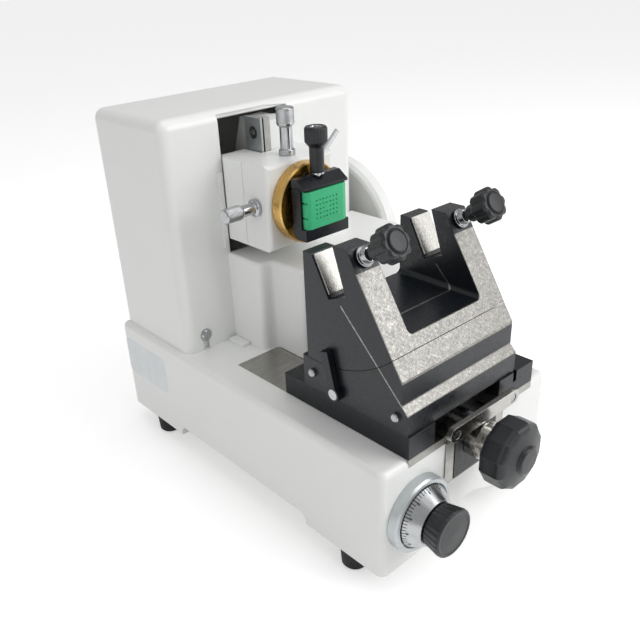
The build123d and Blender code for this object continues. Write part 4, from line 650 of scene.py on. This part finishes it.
def settle(name, mesh, material, body, stands_for=()):
    """Merges doubles, turns the faces outwards, shades, and seats the piece on its body."""
    made = bmesh.new()
    made.from_mesh(mesh)
    bmesh.ops.remove_doubles(made, verts=made.verts, dist=1e-7)
    bmesh.ops.dissolve_degenerate(made, edges=made.edges, dist=1e-8)
    bmesh.ops.recalc_face_normals(made, faces=made.faces)
    made.to_mesh(mesh)
    made.free()
    mesh.polygons.foreach_set("use_smooth", [True] * len(mesh.polygons))
    mesh.set_sharp_from_angle(angle=SHARP_FROM)
    mesh.materials.append(material)
    piece = bpy.data.objects.new(name, mesh)
    bpy.context.scene.collection.objects.link(piece)
    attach(piece, body)
    if stands_for:
        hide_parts(*stands_for)


# Operators


class MICROTOME_OT_finishes(bpy.types.Operator):
    """Make every finish and lay it on the solids of the frame"""

    bl_idname = "microtome.finishes"
    bl_label = "Finishes"

    def execute(self, context):
        made = finish_table(context.scene.microtome_colours)
        FINISH_NAMES.update({short: material.name for short, material in made.items()})
        for short, nodes in CAD_FINISHES.items():
            for node in nodes:
                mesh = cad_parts[node].data
                mesh.materials.clear()
                mesh.materials.append(made[short])
        return {"FINISHED"}


class MICROTOME_OT_star_knobs(bpy.types.Operator):
    """Two lobed star knobs, each with its screw, and a bright washer at its root"""

    bl_idname = "microtome.star_knobs"
    bl_label = "Star Knobs"

    def execute(self, context):
        sizes = context.scene.microtome_sizes
        outer = sizes.star_radius / MM
        depth = sizes.lobe_depth / MM
        lobes = sizes.star_lobes
        corners = [
            (-9.0, 0.0), (-9.0, 3.0), (10.5, 3.0), (10.5, 6.0), (18.8, 6.4), (19.5, outer - 1.2),
            (21.0, outer), (31.0, outer), (32.4, outer - 1.6), (32.4, 8.0), (31.8, 7.7),
            (31.8, 7.1), (33.4, 6.8), (33.6, 0.0),
        ]
        profile = spaced(softened(corners, 0.9), 0.8)

        def lobe(turn, along, radius):
            """Rounded hollows: depth * ((1 - cos(lobes * turn)) / 2) ^ 1.6, only on the barrel."""
            wave = ((1 - np.cos(lobes * turn)) / 2) ** 1.6
            on_barrel = np.clip((radius - 8.3) / 2.5, 0, 1) * (along > 19)
            return -depth * wave * on_barrel

        section = [(0.2, 3.1), (0.2, 6.8), (1.6, 6.8), (2.0, 5.2), (6.5, 5.0), (6.8, 3.1), (0.2, 3.1)]
        washer = softened(section, 0.3)
        axis = (0, -cos(STAR_ANGLE), sin(STAR_ANGLE))
        for side, x in STAR_X.items():
            seat = (x, *STAR_SEAT)
            body = f"{side}_star"
            stands_for = [f"star_knob_{side}"]
            grid = turned(profile, seat, axis, columns=144, carve=lobe)
            skin(f"star_{side}_moulding", grid, finish("plastic"), body, stands_for)
            grid = turned(washer, seat, axis, columns=64)
            skin(f"star_{side}_washer", grid, finish("chrome"), body)
        return {"FINISHED"}


class MICROTOME_OT_coarse_knob(bpy.types.Operator):
    """Fluted coarse feed knob with its shallow conical face and flat middle cap"""

    bl_idname = "microtome.coarse_knob"
    bl_label = "Coarse Feed Knob"

    def execute(self, context):
        sizes = context.scene.microtome_sizes
        outer = sizes.coarse_radius / MM
        depth = sizes.flute_depth / MM
        corners = [
            (0.0, 0.0), (0.0, outer - 4), (1.6, outer - 0.6), (4.0, outer), (16.0, outer),
            (18.6, outer - 1.2), (20.0, outer - 4.0), (22.6, 11.6), (22.2, 11.0), (22.4, 10.4),
            (25.2, 9.9), (25.5, 0.0),
        ]
        profile = spaced(softened(corners, 1.4), 0.9)

        def flute(turn, along, radius):
            """Wide hollows with narrow ridges: depth * |cos(flutes * turn / 2)| ^ 0.7, only near the rim."""
            wave = np.abs(np.cos(sizes.coarse_flutes * turn / 2)) ** 0.7
            return -depth * wave * np.clip((radius - outer + 6) / 4, 0, 1)

        grid = turned(profile, COARSE_SEAT, FORWARD, columns=240, carve=flute)
        skin("coarse_knob_moulding", grid, finish("plastic"), "coarse_feed", ["coarse_knob"])
        return {"FINISHED"}


class MICROTOME_OT_dial(bpy.types.Operator):
    """Ribbed dial knob and the plain numbers round the scale drum"""

    bl_idname = "microtome.dial"
    bl_label = "Thickness Dial"

    def execute(self, context):
        sizes = context.scene.microtome_sizes
        corners = [
            (0.0, 0.0), (0.0, 14.6), (0.8, 15.7), (12.4, 18.0), (14.0, 17.4), (14.5, 15.6), (13.9, 14.6),
            (14.6, 0.0),
        ]
        profile = spaced(softened(corners, 0.7), 0.8)

        def rib(turn, along, radius):
            """Half-round ribs: height * (|sin(ribs * turn / 2)| - 0.9), only on the side of the knob."""
            height, least_radius, front = 0.45, 15.0, 13.6
            wave = np.abs(np.sin(sizes.dial_ribs * turn / 2)) - 0.9
            return height * wave * (radius > least_radius) * (along < front)

        grid = turned(profile, DIAL_SEAT, FORWARD, columns=320, carve=rib)
        skin("dial_knob_moulding", grid, finish("plastic"), "dial", ["dial_knob"])
        self.figures(sizes.figure_height / MM)
        return {"FINISHED"}

    def figures(self, height):
        """Plain numbers bent on to the drum's cone: text x goes round it and text y goes up its slope."""
        count, apart, baseline, middle_radius, lift = 12, 5, 4.3, 20.5, 0.06
        rear, front = np.array(DRUM_CONE)
        slope = (front - rear) / np.linalg.norm(front - rear)
        out = np.array((-slope[1], slope[0]))
        out *= np.sign(out[1])
        for step in range(count):
            curve = bpy.data.curves.new(f"dial_figure_{step}", "FONT")
            curve.body = str(step * apart)
            curve.align_x = "CENTER"
            curve.size = height
            curve.resolution_u = 2
            flat = bpy.data.objects.new(curve.name, curve)
            bpy.context.scene.collection.objects.link(flat)
            bpy.context.view_layer.update()
            depsgraph = bpy.context.evaluated_depsgraph_get()
            mesh = bpy.data.meshes.new_from_object(flat.evaluated_get(depsgraph))
            bpy.data.objects.remove(flat)
            points = np.zeros(len(mesh.vertices) * 3)
            mesh.vertices.foreach_get("co", points)
            points = points.reshape(-1, 3)
            station = rear + slope * (baseline - points[:, 1:2]) + lift * out
            turn = radians(90 - step * 360 / count) - points[:, 0] / middle_radius
            placed = np.stack(
                [
                    DIAL_SEAT[0] + station[:, 1] * np.cos(turn),
                    station[:, 0],
                    DIAL_SEAT[2] + station[:, 1] * np.sin(turn),
                ],
                axis=1,
            )
            mesh.vertices.foreach_set("co", (placed * MM + np.array(DATUM)).ravel())
            settle(f"dial_number_{step * apart}", mesh, finish("ink"), "dial")


class MICROTOME_OT_chrome_knobs(bpy.types.Operator):
    """Two chrome orientation knobs with diamond-knurled heads"""

    bl_idname = "microtome.chrome_knobs"
    bl_label = "Orientation Knobs"

    def execute(self, context):
        sizes = context.scene.microtome_sizes
        self.knob(
            "tilt_knob", "tilt_adjuster", TILT_SEAT, UPWARD, (24.4, 34.6), sizes,
            [
                (-3.5, 0.0), (-3.5, 3.0), (0.3, 3.0), (0.3, 6.5), (4.0, 6.5), (5.0, 5.0), (21.6, 5.0),
                (22.4, 6.5), (24.0, 7.0), (35.0, 7.0), (36.0, 6.0), (36.0, 0.0),
            ],
        )
        self.knob(
            "swivel_knob", "swivel_adjuster", SWIVEL_SEAT, LEFTWARD, (17.4, 29.6), sizes,
            [
                (-6.0, 0.0), (-6.0, 3.0), (0.3, 3.0), (0.3, 7.0), (3.0, 7.0), (4.0, 4.5), (15.0, 4.5),
                (15.6, 5.4), (17.0, 5.8), (30.0, 5.8), (31.3, 4.8), (31.3, 0.0),
            ],
        )
        return {"FINISHED"}

    def knob(self, node, body, centre, axis, band, sizes, corners):
        """Turned knob with a band of diamond knurling, from band[0] to band[1] along its axis."""
        height = sizes.knurl_height / MM
        pitch = sizes.knurl_pitch / MM
        fade = 0.4
        teeth = round(2 * pi * max(radius for _, radius in corners) / pitch)
        profile = spaced(softened(corners, 0.4), 0.22)

        def knurl(turn, along, radius):
            """Two crossed screw waves: the radius drops by height * (1 - |sin up| * |sin down|)."""
            from_end = np.minimum(along - band[0], band[1] - along)
            inside = np.clip(from_end / fade, 0, 1)
            up = np.abs(np.sin((turn * teeth + along * 2 * pi / pitch) / 2))
            down = np.abs(np.sin((turn * teeth - along * 2 * pi / pitch) / 2))
            return -height * inside * (1 - up * down)

        grid = turned(profile, centre, axis, columns=256, carve=knurl)
        skin(f"{node}_knurled", grid, finish("chrome"), body, [node])


class MICROTOME_OT_clamp_knob(bpy.types.Operator):
    """Black clamp knob: slim neck, flared knurled head with a bright ring let into its recessed top"""

    bl_idname = "microtome.clamp_knob"
    bl_label = "Clamp Knob"

    def execute(self, context):
        corners = [
            (1.9, 0.0), (1.9, 5.5), (20.4, 5.5), (24.2, 8.6), (33.8, 8.6), (35.3, 7.6), (35.3, 5.2),
            (34.2, 5.0), (34.2, 0.0),
        ]
        profile = spaced(softened(corners, 0.8), 0.7)

        def rib(turn, along, radius):
            """Fine upright ribs: height * (|sin(ribs * turn / 2)| - 0.9), on the side of the head only."""
            ribs, height = 26, 0.3
            on_head = (radius > 7.9) * (along > 22.5) * (along < 34.6)
            return height * (np.abs(np.sin(ribs * turn / 2)) - 0.9) * on_head

        grid = turned(profile, CLAMP_SEAT, UPWARD, columns=208, carve=rib)
        skin("clamp_knob_turned", grid, finish("plastic"), "jaw_screw", ["clamp_knob"])
        section = [(34.0, 3.6), (34.0, 4.8), (35.0, 4.6), (35.0, 3.8), (34.0, 3.6)]
        grid = turned(softened(section, 0.2), CLAMP_SEAT, UPWARD, columns=64)
        skin("clamp_knob_ring", grid, finish("chrome"), "jaw_screw")
        return {"FINISHED"}


class MICROTOME_OT_label_plate(bpy.types.Operator):
    """Blank pale plate stuck on the base's left side near the rear"""

    bl_idname = "microtome.label_plate"
    bl_label = "Blank Label"

    def execute(self, context):
        sizes = context.scene.microtome_sizes
        half = np.array((sizes.label_width, sizes.label_height)) / MM / 2
        columns, squareness, thick = 96, 14, 0.08
        # The rim is half * (cos t, sin t), each to the power 2 / squareness with its sign kept: a
        # rectangle with small round corners. Rings of it stand on the base and close in to the middle
        turn = np.linspace(0, 2 * pi, columns, endpoint=False)
        waves = np.stack([np.cos(turn), np.sin(turn)], axis=1)
        rim = half * np.sign(waves) * np.abs(waves) ** (2 / squareness)
        rings = []
        for out, share in ((0.0, 1.0), (0.06, 0.999), (thick, 0.99), (thick, 0.5), (thick, 0.0)):
            rings.append(np.column_stack([np.full(columns, -out), LABEL_MIDDLE + rim * share]))
        skin("blank_label", np.array(rings), finish("film"), "base")
        return {"FINISHED"}


class MICROTOME_OT_studio(bpy.types.Operator):
    """Pale floor, soft lights, white surroundings and the camera"""

    bl_idname = "microtome.studio"
    bl_label = "Studio"

    def execute(self, context):
        studio = context.scene.microtome_studio
        scene = context.scene
        scene.view_settings.view_transform = "Standard"
        self.floor(studio)
        self.surroundings(scene, studio)
        for name, (spot, size) in SOFTBOXES.items():
            self.softbox(f"{name}_softbox", spot, size, getattr(studio, f"{name}_power"))
        camera = bpy.data.objects.new("camera", bpy.data.cameras.new("camera"))
        scene.collection.objects.link(camera)
        camera.data.sensor_width = 36.0
        camera.data.lens = studio.lens
        camera.data.shift_x, camera.data.shift_y = CAMERA_SHIFT
        turn = Matrix(CAMERA_AXES).transposed().to_4x4()
        camera.matrix_world = Matrix.Translation(CAMERA_PLACE) @ turn
        camera.data.clip_start = 0.01
        scene.camera = camera
        return {"FINISHED"}

    def floor(self, studio):
        """Flat square that lifts to white where the camera sees it lit and keeps the object's shadow."""
        count = 9
        line = np.linspace(-FLOOR_REACH, FLOOR_REACH, count)
        grid = np.stack([*np.meshgrid(line, line), np.zeros((count, count))], axis=-1)
        index = np.arange(count * count).reshape(count, count)
        quads = np.stack([index[:-1, :-1], index[:-1, 1:], index[1:, 1:], index[1:, :-1]], axis=-1)
        mesh = bpy.data.meshes.new("floor")
        mesh.from_pydata(grid.reshape(-1, 3).tolist(), [], quads.reshape(-1, 4).tolist())
        material, tree = new_finish("paper_floor")
        paper = patches(tree, place(tree), 3.0, 0.3, 0.7, detail=2.0)
        tone = add(tree, "Mix", {0: paper, 6: srgb("#f6f6f6"), 7: srgb("#f3f3f3")}, data_type="RGBA")
        shader = add(tree, "BsdfPrincipled", {"Base Color": tone, "Roughness": 0.9})
        path = add(tree, "LightPath").outputs
        rays = {0: path["Is Glossy Ray"], 1: path["Is Transmission Ray"]}
        mirrored = add(tree, "Math", rays, operation="MAXIMUM")
        seen = add(tree, "Math", {0: path["Is Camera Ray"], 1: mirrored}, operation="MAXIMUM")
        lift = add(tree, "Math", {0: seen, 1: studio.floor_glow}, operation="MULTIPLY")
        glow = add(tree, "Emission", {"Strength": lift})
        add(tree, "OutputMaterial", {"Surface": add(tree, "AddShader", {0: shader, 1: glow})})
        mesh.materials.append(material)
        floor = bpy.data.objects.new("floor", mesh)
        bpy.context.scene.collection.objects.link(floor)

    def surroundings(self, scene, studio):
        """World that lights evenly and shows white to the camera and in reflections."""
        world = bpy.data.worlds.new("surroundings")
        scene.world = world
        world.use_nodes = True
        tree = world.node_tree
        tree.nodes.clear()
        path = add(tree, "LightPath").outputs
        rays = {0: path["Is Camera Ray"], 1: path["Is Transmission Ray"]}
        seen = add(tree, "Math", rays, operation="MAXIMUM")
        level = add(tree, "MapRange", {0: seen, 1: 0.0, 2: 1.0, 3: studio.ambient, 4: 1.0})
        back = add(tree, "Background", {"Color": (1, 1, 1), "Strength": level})
        add(tree, "OutputWorld", {"Surface": back})

    def softbox(self, name, spot, size, power):
        """Square soft light that looks at the middle of the object."""
        data = bpy.data.lights.new(name, "AREA")
        data.size = size
        data.energy = power
        light = bpy.data.objects.new(name, data)
        bpy.context.scene.collection.objects.link(light)
        light.location = spot
        aim = LIGHTS_AIM - Vector(spot)
        light.rotation_euler = aim.to_track_quat("-Z", "Y").to_euler()


class MICROTOME_PT_looks(bpy.types.Panel):
    """Buttons for the microtome's looks"""

    bl_idname = "MICROTOME_PT_looks"
    bl_label = "Microtome"
    bl_space_type = "VIEW_3D"
    bl_region_type = "UI"
    bl_category = "Microtome"

    def draw(self, context):
        for operator in OPERATORS:
            self.layout.operator(operator.bl_idname)


GROUPS = {
    "microtome_colours": MicrotomeColours,
    "microtome_sizes": MicrotomeSizes,
    "microtome_studio": MicrotomeStudio,
}
OPERATORS = [
    MICROTOME_OT_finishes,
    MICROTOME_OT_star_knobs,
    MICROTOME_OT_coarse_knob,
    MICROTOME_OT_dial,
    MICROTOME_OT_chrome_knobs,
    MICROTOME_OT_clamp_knob,
    MICROTOME_OT_label_plate,
    MICROTOME_OT_studio,
]
CLASSES = [*GROUPS.values(), *OPERATORS, MICROTOME_PT_looks]


def register():
    """Registers the classes and hangs each group of properties on the scene."""
    for cls in CLASSES:
        bpy.utils.register_class(cls)
    for name, group in GROUPS.items():
        setattr(bpy.types.Scene, name, PointerProperty(type=group))


def unregister():
    """Takes the groups and classes away again."""
    for name in GROUPS:
        delattr(bpy.types.Scene, name)
    for cls in reversed(CLASSES):
        bpy.utils.unregister_class(cls)


def main():
    """Makes every piece in order."""
    register()
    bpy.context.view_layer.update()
    for operator in OPERATORS:
        group, action = operator.bl_idname.split(".")
        getattr(getattr(bpy.ops, group), action)()


if __name__ == "__main__":
    main()
